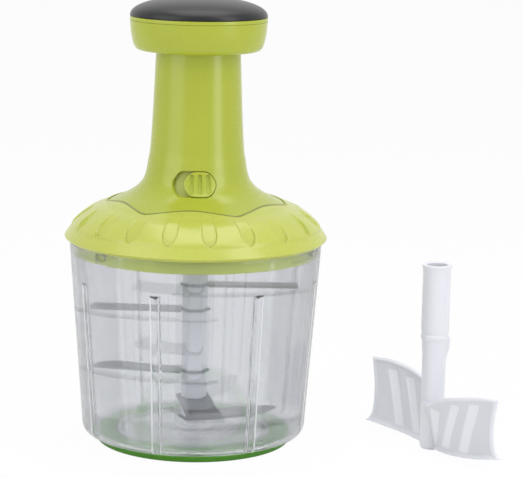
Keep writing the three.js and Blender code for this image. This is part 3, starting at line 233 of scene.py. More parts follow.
class StageSizes(bpy.types.PropertyGroup):
    lens: number("Lens", 148.68, "Focal length of the camera, for a 36 mm frame", unit="CAMERA")
    camera_x: length("Camera side", 32.7, "Camera to the right of the chopper's axis")
    camera_y: length("Camera distance", -1059, "Camera in front of the chopper")
    camera_z: length("Camera height", 298.7, "Camera above the table")
    pitch: angle("Camera pitch", 10.508, "Camera looking down")
    roll: angle("Camera roll", 1.13, "Camera turned about its own line of sight")
    key: number("Key lamp", 2.3, "Power of the key lamp", unit="POWER")
    fill: number("Fill lamp", 2.4, "Power of the fill lamp", unit="POWER")
    top: number("Top lamp", 4.7, "Power of the top lamp", unit="POWER")
    ambient: number("Ambient", 0.44, "Light of the room", min=0, max=1, subtype="FACTOR")


GROUPS = {
    "chopper_bowl": BowlSizes, "chopper_lid": LidSizes, "chopper_neck": NeckSizes, "chopper_cap": CapSizes,
    "chopper_blades": BladeSizes, "chopper_paddle": PaddleSizes, "chopper_colours": FinishColours,
    "chopper_stage": StageSizes,
}


# Profiles: rows of radius and height

def rounded(outline, radius, steps=4, closed=True):
    """Corners of an outline turned into quadratic curves: (1-t)^2 start + 2t(1-t) corner + t^2 end, where
    start and end lie a radius away from the corner, or 0.45 of the shorter side where that is less."""
    points = np.asarray(outline, float)
    back, ahead = np.roll(points, 1, 0) - points, np.roll(points, -1, 0) - points
    back_run, ahead_run = np.linalg.norm(back, axis=1), np.linalg.norm(ahead, axis=1)
    trim = np.minimum(radius, 0.45 * np.minimum(back_run, ahead_run))[:, None]
    start = points + back / np.maximum(back_run, 1e-9)[:, None] * trim
    end = points + ahead / np.maximum(ahead_run, 1e-9)[:, None] * trim
    t = np.linspace(0, 1, steps + 1)[None, :, None]
    arcs = (1 - t) ** 2 * start[:, None] + 2 * t * (1 - t) * points[:, None] + t ** 2 * end[:, None]
    if not closed:
        arcs[0], arcs[-1] = points[0], points[-1]
    return arcs.reshape(-1, 2)


def band(inner, outer, low, high, radius, steps):
    """A rectangle with rounded corners."""
    return rounded([(inner, low), (outer, low), (outer, high), (inner, high)], radius, steps)


def looped(outline):
    """An outline that comes back to its first point."""
    return np.concatenate([outline, outline[:1]])


def along(outline):
    """Length from the first point of an outline to each of its points."""
    steps = np.linalg.norm(np.diff(outline, axis=0), axis=1)
    return np.concatenate([[0], np.cumsum(steps)])


def points_at(places, run, outline):
    """Points of an outline at places along its run."""
    return np.stack([np.interp(places, run, outline[:, i]) for i in (0, 1)], -1)


def resampled(outline, step, fine=()):
    """An outline with points added no more than a step apart, and closer between the levels of each (low,
    high, step) in fine. Its own points stay. Each new point lies on the line between its two neighbours."""
    points = np.asarray(outline, float)
    run = along(points)
    places = [run, np.arange(0, run[-1], step)]
    for low, high, small in fine:
        close = np.arange(0, run[-1], small)
        level = np.interp(close, run, points[:, 1])
        places.append(close[(level > low) & (level < high)])
    return points_at(np.unique(np.round(np.concatenate(places), 4)), run, points)


def flowing(points, steps):
    """A smooth curve through points: for four neighbours a, b, c, d it is the cubic from b to c whose slopes
    there are (c - a) / 2 and (d - b) / 2, with the ends repeated."""
    p = np.asarray(points, float)
    p = np.concatenate([2 * p[:1] - p[1:2], p, 2 * p[-1:] - p[-2:-1]])
    a, b, c, d = p[:-3, None], p[1:-2, None], p[2:-1, None], p[3:, None]
    t = np.linspace(0, 1, steps, endpoint=False)[None, :, None]
    square, cube = a - 2.5 * b + 2 * c - d / 2, 1.5 * (b - c) + (d - a) / 2
    curve = b + (c - a) / 2 * t + square * t ** 2 + cube * t ** 3
    return np.concatenate([curve.reshape(-1, 2), p[-2:-1]])


def shaped(shares, first, last, steps):
    """A smooth curve through shares of the way from one radius and height to another."""
    return np.array(first) + (np.array(last) - first) * flowing(shares, steps)


def inset(curve, distance):
    """A curve moved to its right by a distance, along the normal of the chord between its neighbours."""
    run = np.concatenate([curve[1:], curve[-1:]]) - np.concatenate([curve[:1], curve[:-1]])
    run /= np.linalg.norm(run, axis=1)[:, None]
    return curve + np.stack([-run[:, 1], run[:, 0]], 1) * distance


def smooth_step(x):
    """0 below 0, 1 above 1, and 3x^2 - 2x^3 between."""
    x = np.clip(x, 0, 1)
    return x * x * (3 - 2 * x)


def wrapped(turn):
    """An angle brought to between minus and plus half a turn."""
    return (turn + math.pi) % TURN - math.pi


def nearest(turns, places):
    """How far each angle is from the nearest place."""
    return np.min(np.abs(wrapped(turns[:, None] - places)), axis=-1)


# Curves shared by the lid, the neck and the cap, as shares of their spans

DOME_SHARES = [
    (0, 0.962), (0.1496, 0.8756), (0.24, 0.8254), (0.3409, 0.7608), (0.5357, 0.6603), (0.72, 0.488),
    (0.8591, 0.311), (0.8922, 0.2153), (0.9426, 0.1196), (1, 0),
]
NECK_SHARES = [
    (1, 0), (0.965, 0.018), (0.929, 0.036), (0.897, 0.042), (0.87, 0.0465), (0.82, 0.0535),
    (0.778, 0.0595), (0.7, 0.0715), (0.62, 0.0835), (0.54, 0.0965), (0.45, 0.1145), (0.345, 0.14),
    (0.275, 0.1654), (0.222, 0.1908), (0.17, 0.2417), (0.129, 0.318), (0.094, 0.394), (0.05, 0.623), (0, 1),
]
CAP_SHARES = [(0, 0), (0.28, 0.035), (0.525, 0.13), (0.674, 0.27), (0.864, 0.55), (0.95, 0.82), (1, 1)]


def neck_curve(s):
    """The neck's outer face from its flare to its top, as radius and height."""
    return shaped(NECK_SHARES, (s.top_r, s.foot_z), (s.foot_r, s.top_z), 8)


def neck_r(s, z):
    """Radius of the neck's outer face at a height."""
    curve = neck_curve(s)
    return np.interp(z, curve[:, 1], curve[:, 0])


# Grids and meshes

def around(r, turn, z):
    """Points at a radius, an angle and a height: x = r cos(turn), y = r sin(turn), z."""
    return np.stack(np.broadcast_arrays(r * np.cos(turn), r * np.sin(turn), z), -1)


def turned(profile, turns, push=None):
    """A profile carried round the axis. Push gives what to add to the radius at each row and column."""
    r, z = profile[:, :1], profile[:, 1:]
    return around(r + push(r, z, turns) if push else r, turns, z)


def turned_about(grid, turn):
    """A grid turned about the upright axis."""
    c, s = math.cos(turn), math.sin(turn)
    x, y = grid[..., :1], grid[..., 1:2]
    return np.concatenate([x * c - y * s, x * s + y * c, grid[..., 2:]], -1)


def capped(grid):
    """A grid whose first and last rows are closed by a point in their middle."""
    first, last = (np.broadcast_to(grid[side].mean(0), grid[:1].shape) for side in (0, -1))
    return np.concatenate([first, grid, last])


def with_mark(grid, mark):
    """A grid whose points carry a value for the attribute Mark, which a finish reads to paint light or shade
    into its colour.
    """
    return np.concatenate([grid, np.broadcast_to(mark, grid.shape[:2])[..., None]], -1)


def shrunk(outline, centre, parts):
    """Copies of an outline, each drawn in to a part of its size about the centre."""
    return centre + (outline - np.array(centre)) * np.array(parts)[:, None, None]


def merged(*sets):
    """All numbers of some sets, in order and once each."""
    return np.unique(np.concatenate(sets))


def turns_with(base, places=(), spread=0.0, step=0.1):
    """Angles round a full turn: an even set, and closer ones within a spread either side of each place."""
    close = np.arange(-spread, spread + step / 2, step)
    return np.unique(np.round(np.concatenate(
        [np.linspace(0, TURN, base, endpoint=False), *((place + close) % TURN for place in places)]), 6))


def key_edges(half):
    """Angles of the sides of two keys, at 0 and half a turn, each a half width either side."""
    return [half, -half, math.pi - half, math.pi + half]


def edge_turns(places, gap):
    """Two angles a gap either side of each place, for a wall that rises between them."""
    return np.concatenate([np.asarray(places) - gap, np.asarray(places) + gap]) % TURN


def shell(grid, wrap_rows, wrap_columns):
    """Points and faces of one grid. Points that coincide at a seam or pole become one, a square with two
    equal corners becomes a triangle, and the faces are turned outwards where the volume comes out
    negative."""
    _, first, same = np.unique(
        np.round(grid[..., :3].reshape(-1, 3), 5), axis=0, return_index=True, return_inverse=True)
    index = same.reshape(grid.shape[:2])
    a = index if wrap_rows else index[:-1]
    b = np.roll(index, -1, 0) if wrap_rows else index[1:]
    if wrap_columns:
        corners = [a, np.roll(a, -1, 1), np.roll(b, -1, 1), b]
    else:
        corners = [a[:, :-1], a[:, 1:], b[:, 1:], b[:, :-1]]
    quads = np.stack(corners, 2).reshape(-1, 4)
    points = grid.reshape(-1, grid.shape[2])[first]
    p = points[quads][..., :3]
    volume = sum(np.einsum("ij,ij->", p[:, 0], np.cross(p[:, i], p[:, i + 1])) for i in (1, 2))
    if volume < 0:
        quads = quads[:, ::-1]
    twin = quads == np.roll(quads, -1, 1)
    whole = quads[~twin.any(1) & (quads[:, 0] != quads[:, 2]) & (quads[:, 1] != quads[:, 3])]
    halves = quads[twin.sum(1) == 1]
    triangles = halves[~(halves == np.roll(halves, -1, 1))].reshape(-1, 3)
    return points, whole.tolist() + triangles.tolist()


def new_object(name, grids, place=AXIS, sharp=35, cutters=()):
    """An object from closed grids, each (points, wrap rows, wrap columns), set down at a place in plan. A
    fourth value of the points becomes the attribute Mark, which carries painted light and shade. Cutters are
    grids whose solids are taken away."""
    points, faces, start = [], [], 0
    for grid in grids:
        more, squares = shell(*grid)
        faces += [[corner + start for corner in face] for face in squares]
        points.append(more)
        start += len(more)
    points = np.concatenate(points)
    mesh = bpy.data.meshes.new(name)
    mesh.from_pydata((points[:, :3] * MM + (*place, 0.0)).tolist(), [], faces)
    if points.shape[1] > 3:
        mesh.attributes.new("Mark", "FLOAT", "POINT").data.foreach_set("value", points[:, 3])
    mesh.update()
    piece = bpy.data.objects.new(name, mesh)
    bpy.context.scene.collection.objects.link(piece)
    if cutters:
        cutter = new_object(name + "_cutter", cutters, place)
        modifier = piece.modifiers.new("Cut", "BOOLEAN")
        modifier.operation, modifier.solver, modifier.object = "DIFFERENCE", "EXACT", cutter
        bpy.context.view_layer.update()
        done = bpy.data.meshes.new_from_object(piece.evaluated_get(bpy.context.evaluated_depsgraph_get()))
        piece.modifiers.clear()
        done.name = name
        piece.data = done
        bpy.data.objects.remove(cutter)
    piece.data.shade_smooth()
    piece.data.set_sharp_from_angle(angle=math.radians(sharp))
    return piece


# Nodes of the finishes

def empty_tree(owner):
    """The node tree of a material or world, cleared."""
    owner.use_nodes = True
    owner.node_tree.nodes.clear()
    return owner.node_tree


def add(tree, kind, inputs=None, **settings):
    """Adds a node. Settings are its own choices, inputs are values or sockets by socket name or number."""
    node = tree.nodes.new("ShaderNode" + kind)
    for key, value in settings.items():
        setattr(node, key, value)
    for key, value in (inputs or {}).items():
        if isinstance(value, bpy.types.NodeSocket):
            tree.links.new(value, node.inputs[key])
        else:
            node.inputs[key].default_value = value
    return node


def grain(tree, scale, detail=3.0, stretch=(1, 1, 1)):
    """Noise on Object coordinates whose lumps are about as many millimetres across as the scale."""
    place = add(tree, "TexCoord").outputs["Object"]
    place = add(tree, "Mapping", {"Vector": place, "Scale": stretch}).outputs[0]
    return add(tree, "TexNoise", {
        "Vector": place, "Scale": 1 / (scale * MM), "Detail": detail, "Roughness": 0.55}).outputs["Fac"]


def carried(tree, value, low, high, start=0.0, end=1.0):
    """A value carried from start to end over to low to high, and held beyond them."""
    return add(tree, "MapRange", {
        "Value": value, "From Min": start, "From Max": end, "To Min": low, "To Max": high}).outputs[0]


def spread(tree, noise, low, high):
    """A noise value, most of which lies from 0.3 to 0.7, carried over to low to high."""
    return carried(tree, noise, low, high, 0.3, 0.7)


def times(tree, tint, level):
    """A colour multiplied by a level."""
    return add(tree, "MixRGB", {0: 1.0, 1: tint, 2: level}, blend_type="MULTIPLY").outputs[0]


def bumped(tree, noise, depth, **inputs):
    """A surface roughened by a height of so many millimetres."""
    return add(tree, "Bump", {"Height": noise, "Distance": depth * MM, "Strength": 1.0, **inputs}).outputs[0]


def mark_of(tree):
    """The attribute Mark, which carries painted light and shade, and is 0 on a piece without it."""
    return add(tree, "Attribute", attribute_name="Mark").outputs["Fac"]


def finished(name, fill):
    """A material whose surface is the shader that fill makes in its node tree."""
    material = bpy.data.materials.new(name)
    tree = empty_tree(material)
    add(tree, "OutputMaterial", {0: fill(tree).outputs[0]})
    return material


# Finishes

def worked(name, tint, cloud, fine, waves=None, mark=None, values=()):
    """A moulded or turned surface. Cloud is the noise in its colour: scale, detail, stretch, darkest and
    lightest. Fine is the noise in its gloss and bump: scale, detail, stretch, lowest and highest roughness,
    and depth. Waves are the mould's unevenness: scale, detail, stretch and depth. Mark is what the colour is
    multiplied by where the attribute Mark is 0 and where it is 1, which paints light or shade into the
    colour."""
    def fill(tree):
        *kind, dark, light = cloud
        even = times(tree, tint, spread(tree, grain(tree, *kind), dark, light))
        *kind, smooth, rough, depth = fine
        small = grain(tree, *kind)
        under = {"Normal": bumped(tree, grain(tree, *waves[:3]), waves[3])} if waves else {}
        return add(tree, "BsdfPrincipled", {
            # Painted light and shade: the colour is multiplied by the level that the attribute Mark gives
            "Base Color": times(tree, even, carried(tree, mark_of(tree), *mark)) if mark else even,
            "Roughness": spread(tree, small, smooth, rough),
            "Normal": bumped(tree, small, depth, **under), **dict(values)})
    return finished(name, fill)


def clear_san(name, tint):
    """SAN, the clear plastic of kitchen bowls: glass-like, greyer where the eye looks along the wall, partly
    the tint seen through more of the wall and partly painted shade, with a trace of moulding flow in its
    faces. A third of the light goes straight on, because a wall 2 mm thick shifts it so little. Mark above 0
    mixes in white diffuse, a painted highlight along a flute's sharp edges; below 0 it darkens the tint,
    painted shade at a flute's sloped end and round a lug."""
    def fill(tree):
        flow = grain(tree, 14, 1.5, (1, 1, 0.25))
        facing = add(tree, "LayerWeight", {"Blend": 0.5}).outputs["Facing"]
        mark = mark_of(tree)
        grey = times(tree, tint, spread(tree, flow, 0.985, 1.01))
        # Painted shade: the tint darkens towards 0.6 where the wall is seen edge-on, partly for the longer
        # path through the tint
        grey = times(tree, grey, carried(tree, facing, 1.0, 0.6, 0.45, 0.95))
        # Painted shade: the tint falls to 0.12 where Mark is -1
        grey = times(tree, grey, carried(tree, mark, 0.12, 1.0, -1.0, 0.0))
        glass = add(tree, "BsdfPrincipled", {
            "Base Color": grey, "Roughness": 0.03, "Normal": bumped(tree, flow, 0.02), "IOR": 1.5,
            "Transmission Weight": 1.0})
        straight = add(tree, "BsdfTransparent", {"Color": grey})
        mixed = add(tree, "MixShader", {0: 0.35, 1: glass.outputs[0], 2: straight.outputs[0]})
        # Painted highlight: up to 0.6 white diffuse mixed in where Mark is 1, for bright lines along the
        # flutes
        painted_glint = add(tree, "BsdfDiffuse", {"Color": linear("FDFDFF")})
        return add(tree, "MixShader", {
            0: carried(tree, mark, 0.0, 0.6), 1: mixed.outputs[0], 2: painted_glint.outputs[0]})
    return finished(name, fill)


def ground_steel(name, tint):
    """Stainless sheet, ground along its length: grey satin, drawn out into fine streaks. The grinding marks
    are 0.05 mm apart on a real blade and are drawn at 0.35 mm, so that they show."""
    def fill(tree):
        place = add(tree, "UVMap", uv_map="Along").outputs[0]
        streak = add(tree, "Mapping", {"Vector": place, "Scale": (40, 2800, 1)}).outputs[0]
        marks = add(tree, "TexNoise", {"Vector": streak, "Scale": 1.0, "Detail": 4.0}).outputs["Fac"]
        return add(tree, "BsdfPrincipled", {
            "Base Color": times(tree, tint, spread(tree, marks, 0.9, 1.06)), "Metallic": 1.0,
            "Roughness": spread(tree, grain(tree, 12, 3.0), 0.34, 0.44), "Normal": bumped(tree, marks, 0.006),
            "Anisotropic": 0.4})
    return finished(name, fill)


def through(weight, radius, scale):
    """Light that goes a little way in: its weight, the reach of each colour, and the scale in metres."""
    return {"Subsurface Weight": weight, "Subsurface Radius": radius, "Subsurface Scale": scale}


EVEN, FLOW, RINGS = (1, 1, 1), (1, 1, 0.3), (0.3, 0.3, 3)  # Stretches of a noise
# ABS from a polished mould: even colour, a broad soft gloss and the faint waviness that moulding leaves
ABS = {"cloud": (38, 2, EVEN, 0.975, 1.02), "fine": (0.55, 2, EVEN, 0.21, 0.29, 0.004),
       "waves": (9, 1, EVEN, 0.01), "values": {"IOR": 1.53, **through(0.06, (1.0, 1.0, 0.4), 0.0012)}}
# Polypropylene: slightly waxy, lets light through at thin edges, with soft flow marks along the moulding
POLYPROPYLENE = {"cloud": (16, 2, FLOW, 0.975, 1.015), "fine": (0.6, 2, EVEN, 0.34, 0.44, 0.006),
                 "waves": (16, 2, FLOW, 0.02),
                 "values": {"IOR": 1.49, **through(0.18, (1.0, 1.0, 1.0), 0.002)}}
# Silicone rubber: matt, slightly cloudy and soft in its shading
SILICONE = {"cloud": (7, 3, EVEN, 0.94, 1.05), "fine": (0.5, 2, EVEN, 0.45, 0.58, 0.012),
            "values": {"IOR": 1.41, **through(0.12, (0.8, 1.0, 0.6), 0.0015)}}
# Thermoplastic rubber with a fine spark-eroded grain: dark, with a dull grey bloom where light grazes it
SOFT_RUBBER = {"cloud": (14, 2, EVEN, 0.92, 1.08), "fine": (0.45, 3, EVEN, 0.3, 0.4, 0.01),
               "values": {
                   "IOR": 1.5, "Specular IOR Level": 0.36, "Sheen Weight": 0.04, "Sheen Roughness": 0.4}}
# Acetal, the waxy white plastic of small gears: smooth and slightly yellow
ACETAL = {"cloud": (9, 2, EVEN, 0.96, 1.02), "fine": (0.35, 3, EVEN, 0.3, 0.42, 0.005),
          "values": {"IOR": 1.48, "Subsurface Weight": 0.1, "Subsurface Scale": 0.001}}
# Small steel parts off a lathe: bright, with fine rings across their length
TURNED_STEEL = {"cloud": (0.4, 2, RINGS, 0.92, 1.04), "fine": (0.4, 2, RINGS, 0.22, 0.34, 0.004),
                "values": {"Metallic": 1.0}}

# Each look: its material's name, its slot, its colour, and the function that makes it with what that is
# given. Marked with painted light and shade are the joint round the neck and the petals' outlines, dimmed as
# painted shade; the panels, rim and foot of the paddle, lighter as painted light; and the top of the ring
# under the clear floor, brighter as painted light.
LOOKS = {
    "lime": ("lime_moulded_abs", "lime_plastic", "lime", worked, ABS),
    "slot": ("slot_lime_moulded_abs", "lime_plastic", "slot_lime", worked,
             {**ABS, "fine": (0.55, 2, EVEN, 0.33, 0.41, 0.004)}),
    "inner": ("inner_lime_moulded_abs", "inner_lime_plastic", "inner_lime", worked, ABS),
    # Painted shade: the colour falls to 0.42 where Mark is 1
    "dome": ("pale_lime_moulded_abs", "light_lime_plastic", "pale_lime", worked,
             {**ABS, "mark": (1.0, 0.42)}),
    "white": ("white_moulded_polypropylene", "white_plastic", "white", worked, POLYPROPYLENE),
    # Painted light: the colour goes from 0.93 to 1.1 as Mark goes from 0 to 1
    "paddle": ("white_polypropylene_with_panels", "white_plastic", "white", worked,
               {**POLYPROPYLENE, "fine": (0.6, 2, EVEN, 0.3, 0.4, 0.006), "mark": (0.93, 1.1)}),
    "pad": ("grained_soft_rubber", "soft_pad", "pad", worked, SOFT_RUBBER),
    # Painted light: the colour is 3.2 times brighter where Mark is 1, on the ring's top
    "green": ("green_silicone", "green_rubber", "green", worked, {**SILICONE, "mark": (1.0, 3.2)}),
    "seal": ("clear_silicone", "clear_seal", "seal", worked, SILICONE),
    "acetal": ("waxy_moulded_acetal", None, "acetal", worked, ACETAL),
    "bright": ("turned_bright_steel", "steel", "bright_steel", worked, TURNED_STEEL),
    "blade": ("ground_stainless_sheet", "blade_steel", "steel", ground_steel, {}),
    "clear": ("clear_moulded_san", "clear_plastic", "clear", clear_san, {}),
}


def material_of(look):
    """The material of a look, made the first time that it is asked for."""
    name, _, tint, make, settings = LOOKS[look]
    tint = getattr(bpy.context.scene.chopper_colours, tint)
    return bpy.data.materials.get(name) or make(name, tint, **settings)


def build(name, grids, look, body, node, sharp=35, **how):
    """A piece from its grids, with its finish, body and material slot, and the CAD node that it stands
    for."""
    piece = new_object(name, grids, sharp=sharp, **how)
    piece.data.materials.clear()
    piece.data.materials.append(material_of(look))
    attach(piece, body)
    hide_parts(node)
    return piece


def repaint(look, *nodes):
    """Puts a look on CAD nodes whose shape stays."""
    for node in nodes:
        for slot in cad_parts[node].material_slots:
            slot.material = material_of(look)


# Bowl

RIM_BAND = 1.6  # Height of the band at the rim, over the wall's slope
# Columns stand close this far either side of a flute, a lug and the paddle's nub, and this far apart
FLUTE_COLUMNS, LUG_COLUMNS, NUB_COLUMNS = np.radians([(3.25, 0.25), (3.6, 0.4), (24, 1.5)])
WALL_GAP = 0.0008  # Half the angle over which the side of a key, keyway or notch rises


def bowl_r(s, z):
    """Outside radius of the bowl's wall: rim radius less slope x depth under the rim's band."""
    return s.rim_r - s.slope * (s.height - RIM_BAND - z)


def lug_turns(s):
    """Angles of the bayonet lugs: the first lug's, then even steps round the bowl."""
    return s.lug_first + np.arange(s.lugs) * TURN / s.lugs


def bowl_grid(s):
    """The bowl as one turned profile from the middle of its underside, out, up the wall, over the rim, down
    inside and back to the middle. Each flute is a round groove outside, depth sqrt(R^2 - d^2) - (R - sink)
    for a distance d from its line, and a round rib inside of the same kind, cut off slantwise at its top.
    Each lug is an oval pushed inwards. Mark is 1 on the sharp edges of a groove, where it paints a highlight,
    and below 0 on its sloped end and round a lug, where it paints shade."""
    low, floor, rim, step = s.under_z, s.floor_z, s.height, s.rim_r - 0.35
    foot, foot_wall, foot_low, corner_z = s.ring_inner_r - 0.4, 2.1, 1.2, low + 3.9
    seat_r, seat_z, pit_r, pit_z = 9.5, floor + 0.6, 2, floor - 1.8
    outline = rounded([
        (0, low), (foot - foot_wall, low), (foot - foot_wall, foot_low), (foot, foot_low), (foot, low),
        (s.foot_r, low), (s.foot_r + 4, low + 1.4), (bowl_r(s, corner_z), corner_z),
        (s.rim_r, rim - RIM_BAND), (step, rim - 0.8), (step, rim), (s.rim_r - s.wall, rim),
        (bowl_r(s, floor + s.corner_r) - s.wall, floor), (seat_r, floor), (seat_r, seat_z), (pit_r, seat_z),
        (pit_r, pit_z), (0, pit_z),
    ], [0, .4, .4, .3, .3, 1.5, 2.6, 4, .5, .3, .5, .6, s.corner_r, .3, .4, .3, .2, 0], 6, closed=False)
    outline = resampled(outline, 4, (
        (s.flute_top_z - 2, s.flute_top_z + 0.4, 0.2), (s.lug_z - 2.2, s.lug_z + 2.2, 0.28)))
    inside = (np.arange(len(outline)) > np.argmax(outline[:, 1]))[:, None]
    flutes, lugs = np.radians(np.array(s.flutes) - 90), lug_turns(s)
    turns = merged(turns_with(100, flutes, *FLUTE_COLUMNS), turns_with(100, lugs, *LUG_COLUMNS))
    r, z = outline[:, :1], outline[:, 1:]
    on_wall, off, depth = r > 47, nearest(turns, flutes) * r, s.flute_top_z - z

    def hump(radius, stand):
        return np.maximum(np.sqrt(np.maximum(radius ** 2 - off ** 2, 0)) - (radius - stand), 0)

    groove = hump(s.flute_r, s.flute_sink) * smooth_step((depth - 0.5) / 0.3) * smooth_step((z - 3.4) / 1.6)
    slant = np.maximum(depth, 0) * 0.7
    rib = np.minimum(hump(s.rib_r, s.rib_stand), slant) * smooth_step((z - floor - 0.1) / 2.5)
    oval = np.hypot(nearest(turns, lugs) * r / (s.lug_width / 2), (z - s.lug_z) / (s.lug_height / 2))
    lug = s.lug_reach * smooth_step((1.06 - oval) / 0.12) * (z > s.lug_z - 3.2)
    inwards = np.where(inside, rib * on_wall + lug, groove * on_wall)
    half = math.sqrt(s.flute_r ** 2 - (s.flute_r - s.flute_sink) ** 2)
    # Painted highlight on the groove's edges, and painted shade on its sloped end and round each lug
    edge = np.clip(1.3 - np.abs(off - half) / 0.3, 0, 1) * (depth > 1) * (z > 4.5)
    end = (depth > -0.2) & (depth < 1.5) & (off < half * (1.15 - np.maximum(depth, 0) / 1.5))
    mark = np.where(inside, -0.7 * (np.abs(oval - 0.95) < 0.14), np.where(end, -1, edge)) * on_wall
    return with_mark(around(r - inwards, turns, z), mark)


def ring_grid(s):
    """The non-slip ring: a flat band with rounded corners, turned. Mark is 1 on its top, which the finish
    paints brighter: painted light on a face that little lamp light reaches under the clear floor.
    """
    high = s.ring_height - 0.06
    grid = turned(band(s.ring_inner_r, s.ring_outer_r, 0, high, 1, 6), turns_with(180))
    # Painted light: Mark rises to 1 over the top face
    return with_mark(grid, smooth_step((grid[..., 2] - high) / 0.4 + 1))


class CHOPPER_OT_bowl(bpy.types.Operator):
    """Build the clear bowl and its non-slip ring"""
    bl_idname = "chopper.bowl"
    bl_label = "Bowl and grip ring"

    def execute(self, context):
        s = in_mm(context.scene.chopper_bowl)
        bowl = build("bowl_clear", [(bowl_grid(s), False, True)], "clear", "bowl", "bowl", 40)
        bowl.visible_shadow = False
        build("grip_ring", [(ring_grid(s), True, True)], "green", "bowl", "non_slip_ring")
        return {"FINISHED"}


# Lid

def lid_grid(s, bowl):
    """The lid plate with its skirt and hub as one closed turned profile. Each bayonet groove is a step in the
    skirt's outer face: an upright entry over a lug, and a leg that runs 18 degrees to one side, with room
    round the lug."""
    lugs, leg, groove, room = lug_turns(bowl), math.radians(18), 1.45, 0.5
    half = (bowl.lug_width / 2 + room) / s.skirt_r
    low, high = (bowl.lug_z + side * (bowl.lug_height / 2 + room) for side in (-1, 1))
    inner, skirt, under = s.skirt_r - s.skirt_wall, s.skirt_r, s.plate_low_z
    bore, hub, hub_low = 7.1, 10.1, under - 4.5
    ledges = [(skirt, level + side) for level in (low, high) for side in (-0.04, 0.04)]
    outline = rounded([
        (bore, hub_low), (hub, hub_low), (hub, under), (inner, under), (inner, s.skirt_low_z),
        (skirt, s.skirt_low_z), *ledges, (skirt, under), (s.plate_r, under), (s.plate_r, s.plate_top_z),
        (bore, s.plate_top_z),
    ], [.4, .4, .8, .8, .5, .5, 0, 0, 0, 0, .3, .3, .5, .4])
    edges = np.concatenate([lugs - half - leg, lugs - half, lugs + half])

    def push(r, z, a):
        beside = wrapped(a[:, None] - lugs)
        entry = (np.abs(beside) < half).any(-1) & (z < high)
        arm = ((beside < half) & (beside > -half - leg)).any(-1) & (z > low) & (z < high)
        face = (r > skirt - 0.6) & (z < under - 1)
        return np.where(face & (entry | arm), skirt - groove - r, 0)

    turns = merged(turns_with(180), edge_turns(edges, WALL_GAP / 2))
    return turned(resampled(looped(outline), 6), turns, push)


def dome_grid(s, neck):
    """The dome cover, closed both ways. For each angle the outer face runs along the dome's curve from the
    scalloped opening, whose radius is cusp + (arch - cusp) sin(pi u)^1.3 over each arch, to the brim, down
    the lip and back along the inside. The arches behind are shallower. The opening's edge turns down to the
    neck and is marked for painted shade along the joint. Each petal is a scoop sunk along the curve's normal:
    its side is a slope 0.3 mm wide at the outline, which is marked for painted shade in the crease, and its
    floor deepens from the head to the round foot. The painted shade fades out away from the front."""
    curve = shaped(DOME_SHARES, (s.brim_r - s.dome_run, s.brim_z), (s.brim_r, s.brim_z + s.dome_rise), 24)
    run, normal = along(curve), curve - inset(curve, 1)
    petals = s.petal_first + np.arange(s.petals) * TURN / s.petals
    turns = np.linspace(0, TURN, s.petals * 44, endpoint=False)
    from_front = np.degrees(np.abs(wrapped(turns + math.pi / 2)))
    deep = 1 - 0.6 * smooth_step((from_front - 78) / 24)
    u = (turns - s.scallop_first) / TURN * s.scallops % 1
    mouth = s.cusp_r + (s.arch_r - s.cusp_r) * np.sin(math.pi * u) ** 1.3 * deep
    start = np.interp(mouth, curve[:, 0], run)

    lip_turn, slope = 0.3, 0.3
    places = start + lip_turn + (run[-1] - start - lip_turn) * np.linspace(0, 1, 64)[:, None]
    outer = points_at(places, run, curve)
    r, head, foot = outer[..., 0], s.petal_head_r, s.petal_foot_r
    waist = head + 0.56 * (foot - head)
    half = s.petal_width * np.interp(r, [head, waist], [0.42, 0.5])
    down = np.maximum(r - waist, 0) / (foot - waist)
    inside = smooth_step((1 - np.hypot(nearest(turns, petals) * r / half, down)) * half / slope)
    sink = s.petal_sink * np.clip((r - head) / (foot - head), 0, 1) ** 0.8 * inside
    outer = outer + points_at(places, run, normal) * sink[..., None]

    lip_low, lip, inner = s.brim_low_z, s.brim_r - 1.75, s.brim_r - 2.4
    under = resampled([
        (s.brim_r - 0.15, s.brim_z - 0.45), (s.brim_r - 0.75, lip_low + 0.85), (lip + 0.1, lip_low + 0.35),
        (lip, lip_low + 0.15), (lip - 0.15, lip_low), (inner + 0.15, lip_low), (inner, lip_low + 0.15),
        (inner, lip_low + 3.25)], 1.2)
    places = start + 1.6 + (run[-1] * 0.9 - start - 1.6) * np.linspace(1, 0, 26)[:, None]
    back = points_at(places, run, curve + normal * s.dome_wall)

    level = np.interp(start, run, curve[:, 1])
    flare = neck_curve(neck)[::-1]
    floor = np.minimum(np.interp(mouth, flare[:, 0], flare[:, 1]) + 0.1, level - 0.4)
    out = np.array([1.15, 1, 0.2, 0, 0, 0.07, 0.2])[:, None]
    up, less = np.array([0.1, 0, 0, 0.1])[:, None], np.array([0.2, 0.1, 0.03])[:, None]
    edge = np.stack([mouth + out, np.concatenate([floor + up, level - less])], 2)
    rows = np.concatenate([outer, np.repeat(under[:, None], len(turns), 1), back, edge])
    # Painted shade: Mark darkens the petals' outlines, the opening's edge and the joint, and fades out away
    # from the front
    mark = np.zeros(rows.shape[:2])
    mark[:len(inside)] = 1.3 * inside * (1 - inside)
    mark[:2], mark[-len(edge):] = 1, 1
    mark *= 1 - smooth_step((from_front - 80) / 10)
    return with_mark(around(rows[..., 0], turns, rows[..., 1]), mark)


def seal_grid(s):
    """The lid's seal: a flat band with rounded corners under the plate's edge, turned."""
    outer, top = s.plate_r, s.plate_low_z - 0.3
    return turned(band(outer - 2.2, outer, top - 0.8, top, 0.3, 5), turns_with(180))


